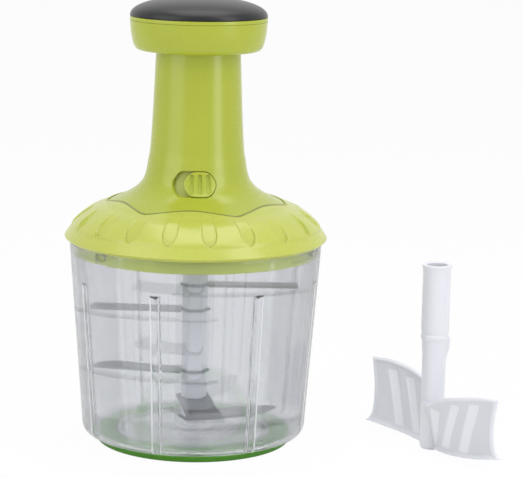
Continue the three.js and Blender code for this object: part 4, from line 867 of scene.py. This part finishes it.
class CHOPPER_OT_lid(bpy.types.Operator):
    """Build the lid plate, its seal and the petalled dome cover"""
    bl_idname = "chopper.lid"
    bl_label = "Lid and dome cover"

    def execute(self, context):
        scene = context.scene
        s, bowl, neck = in_mm(scene.chopper_lid), in_mm(scene.chopper_bowl), in_mm(scene.chopper_neck)
        build("lid_plate", [(lid_grid(s, bowl), True, True)], "inner", "lid", "lid_base")
        build("seal_ring", [(seal_grid(s), True, True)], "seal", "seal", "lid_seal")
        build("dome_petalled", [(dome_grid(s, neck), True, True)], "dome", "lid", "dome_cover", 50)
        return {"FINISHED"}


# Neck and lock

LOCK_R = 26  # Radius of the neck about the lock


def lock_middle(s):
    """Middle of the lock button, as angle and height."""
    return np.array([s.lock_centre, (s.lock_low_z + s.lock_high_z) / 2])


def lock_outline(s, stretch, grow):
    """The lock's six-sided outline as angle and height, rounded at its corners. Stretch lengthens its left
    end. Its angles count as lengths round the neck's radius at the lock."""
    scale = np.array([LOCK_R, 1])
    half_z = (s.lock_high_z - s.lock_low_z) / 2 + grow
    half, flat = s.lock_half + grow / LOCK_R, s.lock_flat + grow / LOCK_R / 2
    corners = np.array([
        (-stretch - flat, -half_z), (flat, -half_z), (half, 0), (flat, half_z), (-stretch - flat, half_z),
        (-stretch - half, 0)])
    outline = looped(rounded(corners * scale, [3.2, 3.2, 2.6, 3.2, 3.2, 2.6], 20))
    run = along(outline)
    return lock_middle(s) + points_at(np.linspace(0, run[-1], 181)[:-1], run, outline) / scale


def slot_cutter(s):
    """The hole that the lock moves in: its outline, grown by its clearance, carried outwards from inside the
    neck to outside it, closed at both ends."""
    outline, inside, outside = lock_outline(s, s.lock_turn, 0.4), 19.8, 44
    rings = shrunk(outline, outline.mean(0), (0, 1, 1, 0))
    return around(np.array([inside, inside, outside, outside])[:, None], rings[..., 0], rings[..., 1])


def neck_grid(s):
    """The neck cover as one closed turned profile: up the outer face, down the guide round the stem, and back
    down a face that lies a wall's thickness inside. Two keyways, left and right, are pushed outwards into the
    guide."""
    curve, seat_r, seat_z, seat_wall = neck_curve(s), 40.8, 115.6, 2.4
    key_half, key_depth = 1.9, 1.4
    inner = inset(curve, s.wall)
    inner = inner[(inner[:, 1] < s.guide_z - 2) & (inner[:, 0] < seat_r)]
    top = rounded([
        curve[-2], curve[-1], (s.guide_r, s.top_z), (s.guide_r, s.guide_z), (s.guide_r + 2.2, s.guide_z),
        inner[-1]], [0, .5, .4, .2, .2, 0], closed=False)
    foot = [(seat_r, seat_z), (seat_r + seat_wall, seat_z), (seat_r + seat_wall, seat_z + 1),
            (s.foot_r, s.foot_z - 1), (s.foot_r, s.foot_z)]
    outline = resampled(np.concatenate([curve[:-2], top, inner[::-2], foot]), 4)

    def push(r, z, a):
        return key_depth * (
            (np.abs(np.sin(a)) * r < key_half) & (z > s.guide_z - 0.1) & (r < s.guide_r + 0.05))

    turns = merged(turns_with(144), edge_turns(key_edges(0.109), WALL_GAP))
    return turned(outline, turns, push)


def button_grid(s):
    """The lock button: rings of its outline shrunk towards the middle, laid on the neck's face and raised by
    its height, which falls off over a rounded edge. Three upright hollows with round ends are sunk into its
    face. Its back lies a wall's thickness inside the neck."""
    outline, middle = lock_outline(s, 0, 0), lock_middle(s)
    hollow_gap, hollow_half, hollow_tall, hollow_sink, edge_r = math.radians(8.8), 1.25, 3.4, 1, 0.55
    field = 0.9 + 0.1 * np.sin(np.linspace(0.15, 1, 9) * math.pi / 2)
    parts = np.concatenate([np.linspace(0, 0.9, 30), field])
    edge = np.clip((parts - 0.88) / 0.12, 0, 1)
    top, back = shrunk(outline, middle, parts), shrunk(outline, middle, (1, 0.5, 0))
    r = neck_r(s, top[..., 1]) + (s.lock_stand - edge_r * (1 - np.sqrt(1 - edge ** 2)))[:, None]
    for place in (-1, 0, 1):
        side = np.abs(top[..., 0] - s.lock_centre - place * hollow_gap) * r
        tall = np.maximum(np.abs(top[..., 1] - middle[1]) - hollow_tall, 0)
        r -= hollow_sink * smooth_step((hollow_half - np.hypot(side, tall)) / 0.55)
    places = np.concatenate([top, back])
    return around(np.concatenate([r, neck_r(s, back[..., 1]) - s.wall]), places[..., 0], places[..., 1])


def slide_grid(s):
    """The slide behind the slot: a patch that reaches 32 degrees to both sides and follows the neck under its
    face. The grid goes round the patch's upright section and is closed by its two ends."""
    front, rear, reach, over = 2.3, 3.8, 32, 1.6
    z = np.linspace(s.lock_low_z - over, s.lock_high_z + over, 24)
    layers = [inset(neck_curve(s), depth) for depth in (front, rear)]
    faces = [np.stack([np.interp(z, layer[:, 1], layer[:, 0]), z], 1) for layer in layers]
    turns = s.lock_centre + np.radians(np.linspace(-reach, reach, 33))
    grid = turned(np.concatenate([faces[0], faces[1][::-1]]), turns)
    return capped(grid.swapaxes(0, 1)).swapaxes(0, 1)


def catch_grid(s):
    """The slide's catch: a square bar with rounded edges, from the guide's radius out into the slide."""
    half, middle, inner, outer = 1.5, 132.8, s.guide_r, 24.2
    section = band(-half, half, middle - half, middle + half, 0.4, 4)
    rings = shrunk(section, (0, middle), (0, 0.85, 1, 1, 0))
    r = np.array([inner, inner, inner + 0.3, outer, outer])[:, None]
    return turned_about(np.stack(np.broadcast_arrays(r, rings[..., 0], rings[..., 1]), 2), s.lock_centre)


class CHOPPER_OT_neck(bpy.types.Operator):
    """Build the waisted neck with its lock button and slide"""
    bl_idname = "chopper.neck"
    bl_label = "Neck and lock"

    def execute(self, context):
        s = in_mm(context.scene.chopper_neck)
        build("neck_waisted", [(neck_grid(s), True, True)], "lime", "lid", "neck_cover", 40,
              cutters=[(slot_cutter(s), False, True)])
        build("lock_button_ribbed", [(button_grid(s), False, True)], "lime", "lock", "lock_button", 50)
        build("lock_slide_curved", [(slide_grid(s), True, False), (catch_grid(s), False, True)],
              "slot", "lock", "lock_slide")
        return {"FINISHED"}


# Press cap

def cap_grid(s):
    """The press cap's shell as one closed turned profile: flat underside, rounded wall, and inside a web and
    a collar that hold the stem."""
    wall, clear, low = 2, 0.3, s.low_z
    outer = shaped(CAP_SHARES, (s.low_r, low), (s.r, s.wall_z), 8)
    inner = inset(outer, wall)
    inner = inner[inner[:, 1] > low + 3.2][::-1]
    socket, web = s.stem_r + clear, s.stem_top_z + clear
    collar, bore = socket + 2.2, 2
    rim = rounded([outer[-2], outer[-1], inner[0], inner[1]], 0.35, closed=False)
    rest = rounded([
        inner[-1], (s.low_r, low + wall), (collar, low + wall), (collar, web + wall), (bore, web + wall),
        (bore, web), (socket, web), (socket, low), outer[0]], 0.4, closed=False)
    return turned(resampled(np.concatenate([outer[:-2], rim, inner[2:-1], rest]), 3), turns_with(160))


def bezel_grid(s):
    """The bezel ring under the pad: a thin band on the cap's wall with a spigot inside the wall, turned."""
    low, spigot, spigot_tall, inner = s.wall_z + 0.14, s.r - 2.6, 3.6, s.r - 5.25
    return turned(rounded([
        (inner, low - spigot_tall), (spigot, low - spigot_tall), (spigot, low), (s.r, low),
        (s.r + 0.05, s.bezel_z), (inner, s.bezel_z)], 0.16), turns_with(160))


def pad_grid(s):
    """The grip pad: a superellipse of revolution, (r / R)^p + (z / H)^p = 1, closed by the same form a wall's
    thickness inside."""
    low, power, wall = s.bezel_z + 0.3, 2 / s.pad_power, 2.2
    quarter = np.linspace(0, math.pi / 2, 40)

    def face(depth, turn):
        out, up = np.abs(np.cos(turn)) ** power, np.sin(turn) ** power
        out[-1] = 0
        return np.stack([(s.r - depth) * out, low + (s.pad_z - low - depth) * up], 1)

    return turned(np.concatenate([face(wall, quarter[::2])[::-1], face(0, quarter)]), turns_with(160))


def stem_grid(s, notch):
    """The press stem as one closed turned profile: a flange at its foot, a tube, and a web with a screw boss.
    Two keys, left and right, stand out of it, and the flange is cut back at the notch, where the lock's catch
    passes."""
    r, low, high, wall = s.stem_r, s.stem_low_z, s.stem_top_z, 3.8
    flange, flange_r, foot_r, hollow = low + 3.4, r + 2.2, r - 2, low + 5.3
    bore, boss_r, boss, web = 2, 3.7, high - 10, high - 3
    key_top, key_half, key_stand, notch_half = 195.6, 1.5, 1.4, 1.9 / r
    outline = rounded([
        (foot_r, low), (flange_r, low), (flange_r, flange), (r, flange), (r, key_top - 0.05),
        (r, key_top + 0.05), (r, high), (bore, high), (bore, boss), (boss_r, boss), (boss_r, web),
        (r - wall, web), (r - wall, hollow), (foot_r, hollow),
    ], [.3, .5, .4, .3, 0, 0, .5, .2, .2, .2, .4, .6, .2, .2], 3)
    edges = [*key_edges(key_half / r), notch - notch_half, notch + notch_half]

    def push(radius, z, a):
        rib = (np.abs(np.sin(a)) * r < key_half) & (radius > r - 0.8) & (radius < r + 0.1)
        rib = rib & (z < key_top) & (z > flange + 0.2)
        gap = (np.abs(wrapped(a - notch)) < notch_half) & (radius > r) & (z < flange + 0.01)
        return key_stand * rib + np.where(gap, r - radius, 0)

    turns = merged(turns_with(120), edge_turns(edges, WALL_GAP))
    return turned(resampled(looped(outline), 8), turns, push)


def spring_grid(coils=6, r=10.5, wire_r=0.6, low=116.2, pitch=1.75):
    """The return spring: a circle of the wire's radius carried along a helix, with both ends closed."""
    t = np.linspace(0, coils, coils * 40 + 1)[:, None]
    side = np.linspace(0, TURN, 12, endpoint=False)
    return capped(around(r + wire_r * np.cos(side), TURN * t, low + pitch * t + wire_r * np.sin(side)))


class CHOPPER_OT_cap(bpy.types.Operator):
    """Build the press cap, its bezel, its grip pad, the stem and the return spring"""
    bl_idname = "chopper.cap"
    bl_label = "Press cap and stem"

    def execute(self, context):
        s, notch = in_mm(context.scene.chopper_cap), context.scene.chopper_neck.lock_centre
        for name, grid, look, node in (
                ("cap_shell", cap_grid(s), "lime", "press_cap"),
                ("bezel_band", bezel_grid(s), "lime", "bezel_ring"),
                ("pad_soft", pad_grid(s), "pad", "grip_pad"),
                ("stem_keyed", stem_grid(s, notch), "lime", "press_stem")):
            build(name, [(grid, True, True)], look, "plunger", node, 40)
        build("spring_wound", [(spring_grid(), False, True)], "bright", "lid", "return_spring", 40)
        return {"FINISHED"}


# Blades and their shaft

# Each blade: height, angle, reach, width and rise to its tip, its start as a share of its reach, then its
# leading edge and its back as shares of reach and width
BLADES = {
    "blade_top": (78.8, 0, 51.5, 12, 0, .13, [(0, -.5), (.5, -.47), (.96, -.44), (1, -.4)],
                  [(0, .5), (.5, .46), (.95, .42), (1, .36)]),
    "blade_upper": (66.1, 180, 52.4, 15, .8, .13, [(0, -.5), (.5, -.49), (.93, -.48), (.965, -.42), (1, .2)],
                    [(0, .5), (.5, .5), (.95, .5), (.985, .47), (1, .3)]),
    "blade_middle": (34.6, 180, 51.5, 16, 2.6, .13,
                     [(0, -.5), (.35, -.4), (.52, -.46), (.66, -.56), (.8, -.52), (.93, -.2), (1, .3)],
                     [(0, .5), (.6, .5), (.9, .48), (.97, .44), (1, .38)]),
    "blade_front": (20.2, -80.4, 41.5, 16.5, 0, -.2, [(-.2, -.5), (.5, -.5), (.985, -.5), (1, -.48)],
                    [(-.2, .5), (.5, .5), (.985, .5), (1, .48)]),
    "blade_bottom": (10.5, 24, 47.5, 16, 0, .13, [(0, -.5), (.5, -.5), (.76, -.36), (.9, -.08), (1, .16)],
                     [(0, .5), (.5, .49), (.74, .44), (.9, .32), (1, .18)]),
}


def hexagon(turns, corner_r, first, cut):
    """Radius of a six-sided outline at each angle, corner_r cos(30) / cos(angle from the nearest flat), with
    its corners cut back."""
    flat = wrapped((turns - first) * 6 + math.pi) / 6
    return np.minimum(corner_r * math.cos(math.pi / 6) / np.cos(flat), corner_r - cut)


def blade_grid(s, level, reach, width, lift, first, lead, back):
    """One blade along +X. Across it the surface runs from the leading edge to the back: the top face drops
    towards the leading edge over the ground width, the underside is flat, and both ends of the section are
    closed. The tip is closed where the two edges meet or face each other. The height rises evenly to the tip
    by the lift."""
    places = [np.array(side)[1:, 0] for side in (lead, back)]
    tip = 1 - 0.06 * (1 - np.linspace(0, 1, 12)) ** 2
    u = merged(np.linspace(first, 1, 60), tip, *places)[:, None]
    low, high = (np.interp(u, *flowing(side, 10).T) * width for side in (lead, back))
    across = low + (high - low) * np.concatenate([np.linspace(0, 0.3, 9), np.linspace(0.36, 1, 9)])
    half = s.thickness * 0.48
    middle, drop = level + lift * u, half * 1.6
    top = middle + half - (1 - np.clip((across - low) / s.ground, 0, 1)) * drop
    upper, lower = (np.stack(np.broadcast_arrays(u * reach, across, z), 2) for z in (top, middle - half))
    return capped(np.concatenate([upper, lower[:, ::-1]], 1))


def hub_grid(s, level):
    """The six-sided collar of a blade round the shaft's core: a flat ring with slightly rounded corners."""
    turns, half, inner, bevel = turns_with(96), s.thickness / 2, s.core_r + 0.3, 0.12
    outer = hexagon(turns, s.hub_r, s.shaft_turn, 0.25)
    return np.stack([around(r, turns, level + z) for r, z in (
        (inner, -half), (outer - bevel, -half), (outer, bevel - half), (outer, half - bevel),
        (outer - bevel, half), (inner, half))])


def shaft_grid(s):
    """The blade shaft: a six-sided section carried up the axis, drawn in to a round core at each blade, on a
    narrower foot, with a round socket in its top that has three ribs, and a bore for the foot bush below."""
    turns, core, top, slot, bevel = turns_with(132), s.core_r, s.shaft_top_z, s.thickness / 2 + 0.3, 0.2
    foot_r, foot_z, bore_r, bore_top, step = 4.8, 6.6, core - 1.7, 19.5, 8.6
    rib_r, rib_half, rib_stand, socket_low = 4.4, 1.25, 1.3, top - 10
    wide, narrow = hexagon(turns, s.shaft_r, s.shaft_turn, 0.28), hexagon(turns, foot_r, s.shaft_turn, 0.2)
    rows = [(0, bore_top), (bore_r, bore_top), (bore_r, foot_z), (narrow - 0.25, foot_z),
            (narrow, foot_z + 0.3), (narrow, step - bevel), (narrow, step), (wide - 0.3, step),
            (wide, step + bevel)]
    for z in sorted(blade[0] for blade in BLADES.values()):
        rows += [(wide, z - slot - bevel), (wide - bevel, z - slot), (core, z - slot), (core, z + slot),
                 (wide - bevel, z + slot), (wide, z + slot + bevel)]
    ribs = s.shaft_turn + math.pi / 3 + np.arange(3) * TURN / 3
    socket = core - rib_stand * smooth_step((rib_half - nearest(turns, ribs) * rib_r) / 0.3)
    rows += [(wide, top - 0.35), (wide - 0.35, top), (core + 0.3, top), (core, top - 0.3),
             (socket, top - 0.5), (socket, socket_low), (0, socket_low)]
    return np.stack([around(r, turns, z) for r, z in rows])


def lengthwise(piece, turn):
    """A map of a blade's own length and width in metres, for marks that run along it."""
    mesh = piece.data
    points, corners = np.zeros(len(mesh.vertices) * 3), np.zeros(len(mesh.loops), int)
    mesh.vertices.foreach_get("co", points)
    mesh.loops.foreach_get("vertex_index", corners)
    flat = turned_about(points.reshape(-1, 3) - (*AXIS, 0), -turn)[:, :2]
    mesh.uv_layers.new(name="Along").uv.foreach_set("vector", flat[corners].ravel())


class CHOPPER_OT_blades(bpy.types.Operator):
    """Build the five steel blades and the six-sided shaft that carries them"""
    bl_idname = "chopper.blades"
    bl_label = "Blades and shaft"

    def execute(self, context):
        s = in_mm(context.scene.chopper_blades)
        build("shaft_six_sided", [(shaft_grid(s), False, True)], "white", "blade", "blade_shaft", 30)
        for node, (level, degrees, *shape) in BLADES.items():
            turn = math.radians(degrees)
            blade = turned_about(blade_grid(s, level, *shape), turn)
            grids = [(blade, False, True), (hub_grid(s, level), True, True)]
            lengthwise(build(node + "_ground", grids, "blade", "blade", node, 20), turn)
        return {"FINISHED"}


# Stirring paddle

# Outline of a fin as shares of its reach and height: its foot outwards, its outer end upwards, its top
# outwards
FIN_FOOT = [(0, 0), (.35, .02), (.7, .06), (1, .12)]
FIN_END = [(1, .12), (.972, .145), (.955, .19), (.945, .26), (.945, .34), (.96, .5), (.985, .67), (1.06, 1)]
FIN_TOP = [(0, .68), (.1, .7), (.2, .76), (.27, .8), (.36, .845), (.45, .887), (.53, .917), (.7, .965),
           (.88, 1), (1.06, 1)]
# Recessed panels of a fin: top and foot as shares of reach and of height, and half widths there in
# millimetres
FIN_PANELS = [(.22, .64, .13, .08, 4.2, 1), (.565, .81, .31, .11, 2.6, 2.7), (.8, .88, .575, .13, 2.6, 2.7)]


def paddle_tube_grid(s):
    """The paddle's tube as one turned profile from its foot bore, out, up the lower tube, over the step ring
    and the rim, and down the socket. A nub is raised on its right side, under the step."""
    low, step, high, tube, rim = s.low_r, s.step_z, s.height, s.tube_r, s.rim_r
    bore_r, bore_top, inner, socket_low, ring, nub_half, nub_stand = 3.4, 18, 5.1, high - 40, 6.95, 1.9, 1.15
    outline = rounded([
        (0, bore_top), (bore_r, bore_top), (bore_r, 0), (inner, 0), (low, 1.4), (low, step - 13),
        (ring - 0.5, step - 1.7), (ring, step - 1.1), (ring, step + 0.5), (ring - 0.4, step + 1),
        (ring - 0.2, step + 2.2), (tube, step + 4), (tube, high - 2.6), (rim, high - 0.4), (rim - 0.15, high),
        (inner, high), (inner, socket_low), (0, socket_low),
    ], [0, .3, .4, .5, .6, 6, .3, .4, .4, .25, .5, 1.5, 2, .4, .3, .6, .3, 0], 5, closed=False)
    outline = resampled(outline, 3, ((step - 13, step + 3, 0.5),))
    outside = (np.arange(len(outline)) <= np.argmax(outline[:, 1]))[:, None]

    def push(r, z, a):
        side = smooth_step((nub_half - np.abs(wrapped(a)) * r) / 0.8)
        tall = np.interp(z - step, [-11.5, -5.5, -2.3, 0.3], [0, 1, 1, 0])
        return np.where(outside & (r > inner + 0.1), nub_stand * side * tall, 0)

    # Painted light: the whole tube is marked 0.75, so it is painted lighter than the fins' plain field
    return with_mark(turned(outline, turns_with(96, [0], *NUB_COLUMNS), push), 0.75)


def shares_with(low, few, count, high, many):
    """Shares from 0 to 1: even between low and high, and closer together towards both ends."""
    near = low * (1 - np.cos(np.linspace(0, math.pi / 2, few)))
    far = 1 - (1 - high) * (1 - np.sin(np.linspace(0, math.pi / 2, many)))
    return np.concatenate([near[:-1], np.linspace(low, high, count), far[1:]])


def fin_grid(s):
    """One fin along +X, closed all round. Its sheet is the blend of its four edges: for shares p along and q
    up, (1-q) foot(p) + q top(p) + (1-p) root(q) + p end(q) less the blend of the corners. It bows to its
    right by bow x sin(pi along), leans to its right by lean x height share, and its half thickness is a
    rounded edge, a thicker rim, a plain field, sunk panels and a foot that flares. Rim, panels and foot are
    marked, so that they are painted lighter as painted light."""
    rim_stand, flare_stand, panel_sink, edge_width = 0.3, 0.65, 0.45, 0.9
    p = shares_with(0.02, 4, 84, 0.95, 12)[:, None]
    q = shares_with(0.045, 7, 64, 0.955, 7)[None]
    foot, end, top = (flowing(side, 8) for side in (FIN_FOOT, FIN_END, FIN_TOP))
    foot_at, end_at, top_at = (points_at(share * along(side)[-1], along(side), side)
                               for share, side in ((p, foot), (q, end), (p, top)))
    root, tip, corner = np.array(FIN_TOP[0]), np.array(FIN_TOP[-1]), np.array(FIN_END[0])
    p, q = p[..., None], q[..., None]
    corners = (1 - p) * q * root + p * (1 - q) * corner + p * q * tip
    sheet = (1 - q) * foot_at + q * top_at + (1 - p) * q * root + p * end_at - corners
    out, up = sheet[..., 0], sheet[..., 1]
    x, z = out * s.fin_reach, up * s.fin_height
    bow = -s.fin_bow * np.sin(math.pi * out) - s.fin_lean * up
    slope = -s.fin_bow * math.pi / s.fin_reach * np.cos(math.pi * out)

    end_run = np.interp(up, end[:, 1], end[:, 0]) * s.fin_reach - x
    top_run = np.interp(out, top[:, 0], top[:, 1]) * s.fin_height - z
    foot_run = z - np.interp(out, foot[:, 0], foot[:, 1]) * s.fin_height
    edge = np.clip(np.minimum(np.minimum(end_run, top_run), foot_run) / edge_width, 0, 1)
    rim = smooth_step((2.1 - np.minimum(top_run, end_run)) / 0.7)
    flare = smooth_step((3.4 - foot_run) / 3)
    panel = np.zeros_like(x)
    for top_x, top_z, low_x, low_z, top_half, low_half in FIN_PANELS:
        part = np.clip((up - low_z) / (top_z - low_z), 0, 1)
        line = (low_x + (top_x - low_x) * part) * s.fin_reach
        side = low_half + (top_half - low_half) * part - np.abs(x - line)
        ends = np.minimum(up - low_z, top_z - up) * s.fin_height
        panel = np.maximum(panel, smooth_step(np.minimum(side, ends) / 0.55 + 0.5))
    body = s.fin_thickness * 0.4 + np.maximum(rim_stand * rim, flare_stand * flare) - panel_sink * panel
    body *= np.sqrt(1 - (1 - edge) ** 2)
    body[:, [0, -1]] = body[[0, -1]] = 0
    # Painted light: panels, rim and foot are marked to be painted lighter than the plain field
    mark = np.maximum(panel, np.maximum(rim * 2 / 3, flare))
    size = np.sqrt(1 + slope ** 2)
    front, rear = (
        np.stack([x + side * slope / size * body, bow - side * body / size, z, mark], 2) for side in (1, -1))
    return np.concatenate([front, rear[:, ::-1]], 1)


class CHOPPER_OT_paddle(bpy.types.Operator):
    """Build the white stirring paddle that stands beside the chopper"""
    bl_idname = "chopper.paddle"
    bl_label = "Stirring paddle"

    def execute(self, context):
        s = in_mm(context.scene.chopper_paddle)
        fins = [turned_about(fin_grid(s), s.fin_angle + half) for half in (0, math.pi)]
        grids = [(grid, False, True) for grid in (paddle_tube_grid(s), *fins)]
        middle = (PADDLE_LOW + PADDLE_HIGH) / 2
        build("paddle_finned", grids, "paddle", "paddle", "paddle", 45, place=(middle.x, middle.y))
        return {"FINISHED"}


# Inner works

class CHOPPER_OT_works(bpy.types.Operator):
    """Give the gears, pins, screws and bushes their finishes"""
    bl_idname = "chopper.works"
    bl_label = "Inner works"

    def execute(self, context):
        planets, pins, screws = ([f"{name}_{i}" for i in (1, 2, 3)] for name in (
            "planet_gear", "planet_pin", "case_screw"))
        repaint("acetal", "ring_gear", "gear_cover", "planet_carrier", "drive_nut", "pad_core",
                "spindle_bush", "foot_bush", *planets)
        repaint("bright", "pivot_pin", "helical_rod", "cap_screw", *pins, *screws)
        repaint("white", "sun_spindle", "drive_dog")
        return {"FINISHED"}


# Studio

def direct_rays(tree):
    """1 for rays from the camera, off a gloss or through glass, and 0 for those that light the scene."""
    path = add(tree, "LightPath").outputs
    rays = path["Is Camera Ray"]
    for name in ("Is Glossy Ray", "Is Transmission Ray"):
        rays = add(tree, "Math", {0: rays, 1: path[name]}, operation="MAXIMUM").outputs[0]
    return rays


def make_floor():
    """The table: white to the camera, with a soft trace of the object's shadow left in it."""
    def fill(tree):
        tooth = spread(tree, grain(tree, 1.2), 0.99, 1.0)
        paper = add(tree, "BsdfDiffuse", {"Color": times(tree, linear("F4F4F4"), tooth)})
        glow = add(tree, "Emission", {"Color": (1, 1, 1, 1), "Strength": 1.0})
        part = add(tree, "Math", {0: direct_rays(tree), 1: 0.95}, operation="MULTIPLY").outputs[0]
        return add(tree, "MixShader", {0: part, 1: paper.outputs[0], 2: glow.outputs[0]})

    side = np.linspace(-4000, 4000, 9)
    sheet = np.stack([*np.meshgrid(side, side), np.zeros((9, 9))], 2)
    floor = new_object("studio_floor", [(sheet, False, False)], (0.0, 0.0))
    floor.data.materials.append(finished("white_paper_sweep", fill))


def make_world(ambient):
    """A plain white room that lights the object from all round and is seen as white."""
    world = bpy.data.worlds.new("white_room")
    tree = empty_tree(world)
    level = carried(tree, direct_rays(tree), ambient, 1.0)
    room = add(tree, "Background", {"Color": (1, 1, 1, 1), "Strength": level})
    add(tree, "OutputWorld", {0: room.outputs[0]})
    bpy.context.scene.world = world


def make_lamp(name, power, width, height, place, target):
    """A soft box of a width and height at a place, turned to face a target."""
    lamp = bpy.data.lights.new(name, "AREA")
    lamp.energy, lamp.shape, lamp.size, lamp.size_y = power, "RECTANGLE", width, height
    holder = bpy.data.objects.new(name, lamp)
    holder.location = place
    holder.rotation_euler = (Vector(target) - Vector(place)).to_track_quat("-Z", "Y").to_euler()
    bpy.context.scene.collection.objects.link(holder)


class CHOPPER_OT_stage(bpy.types.Operator):
    """Set the floor, the room, the lamps and the camera"""
    bl_idname = "chopper.stage"
    bl_label = "Studio and camera"

    def execute(self, context):
        scene, sizes = context.scene, context.scene.chopper_stage
        make_floor()
        make_world(sizes.ambient)
        middle = (0.0, 0.0, 0.11)
        make_lamp("key_soft_box", sizes.key, 0.28, 0.9, (0.46, -0.36, 0.46), (*AXIS, 0.15))
        make_lamp("fill_soft_box", sizes.fill, 0.6, 0.8, (-0.62, -0.42, 0.46), middle)
        make_lamp("top_soft_box", sizes.top, 0.8, 0.8, (0.0, 0.07, 1.1), middle)
        camera = bpy.data.cameras.new("photo_camera")
        camera.lens, camera.sensor_width = sizes.lens, 36
        camera.clip_start, camera.clip_end = 0.05, 20
        holder = bpy.data.objects.new("photo_camera", camera)
        place = Matrix.Translation((AXIS[0] + sizes.camera_x, sizes.camera_y, sizes.camera_z))
        tilt = Matrix.Rotation(math.pi / 2 - sizes.pitch, 4, "X")
        holder.matrix_world = place @ tilt @ Matrix.Rotation(sizes.roll, 4, "Z")
        scene.collection.objects.link(holder)
        scene.camera = holder
        scene.view_settings.view_transform = "Standard"
        return {"FINISHED"}


# Panel and registration

STEPS = (
    CHOPPER_OT_stage, CHOPPER_OT_bowl, CHOPPER_OT_lid, CHOPPER_OT_neck, CHOPPER_OT_cap, CHOPPER_OT_blades,
    CHOPPER_OT_paddle, CHOPPER_OT_works,
)


class CHOPPER_PT_build(bpy.types.Panel):
    """Lists the steps that build the chopper, and their sizes and colours"""
    bl_idname = "CHOPPER_PT_build"
    bl_label = "Plunger food chopper"
    bl_space_type = "VIEW_3D"
    bl_region_type = "UI"
    bl_category = "Chopper"

    def draw(self, context):
        for step in STEPS:
            self.layout.operator(step.bl_idname)
        for name, group in GROUPS.items():
            box = self.layout.box()
            values = getattr(context.scene, name)
            for key in group.__annotations__:
                box.prop(values, key)


def register():
    for name, group in GROUPS.items():
        bpy.utils.register_class(group)
        setattr(bpy.types.Scene, name, bpy.props.PointerProperty(type=group))
    for step in (*STEPS, CHOPPER_PT_build):
        bpy.utils.register_class(step)


def unregister():
    for step in (CHOPPER_PT_build, *reversed(STEPS)):
        bpy.utils.unregister_class(step)
    for name, group in GROUPS.items():
        delattr(bpy.types.Scene, name)
        bpy.utils.unregister_class(group)


def main():
    register()
    bpy.ops.chopper.stage()
    bpy.ops.chopper.bowl()
    bpy.ops.chopper.lid()
    bpy.ops.chopper.neck()
    bpy.ops.chopper.cap()
    bpy.ops.chopper.blades()
    bpy.ops.chopper.paddle()
    bpy.ops.chopper.works()


if __name__ == "__main__":
    main()
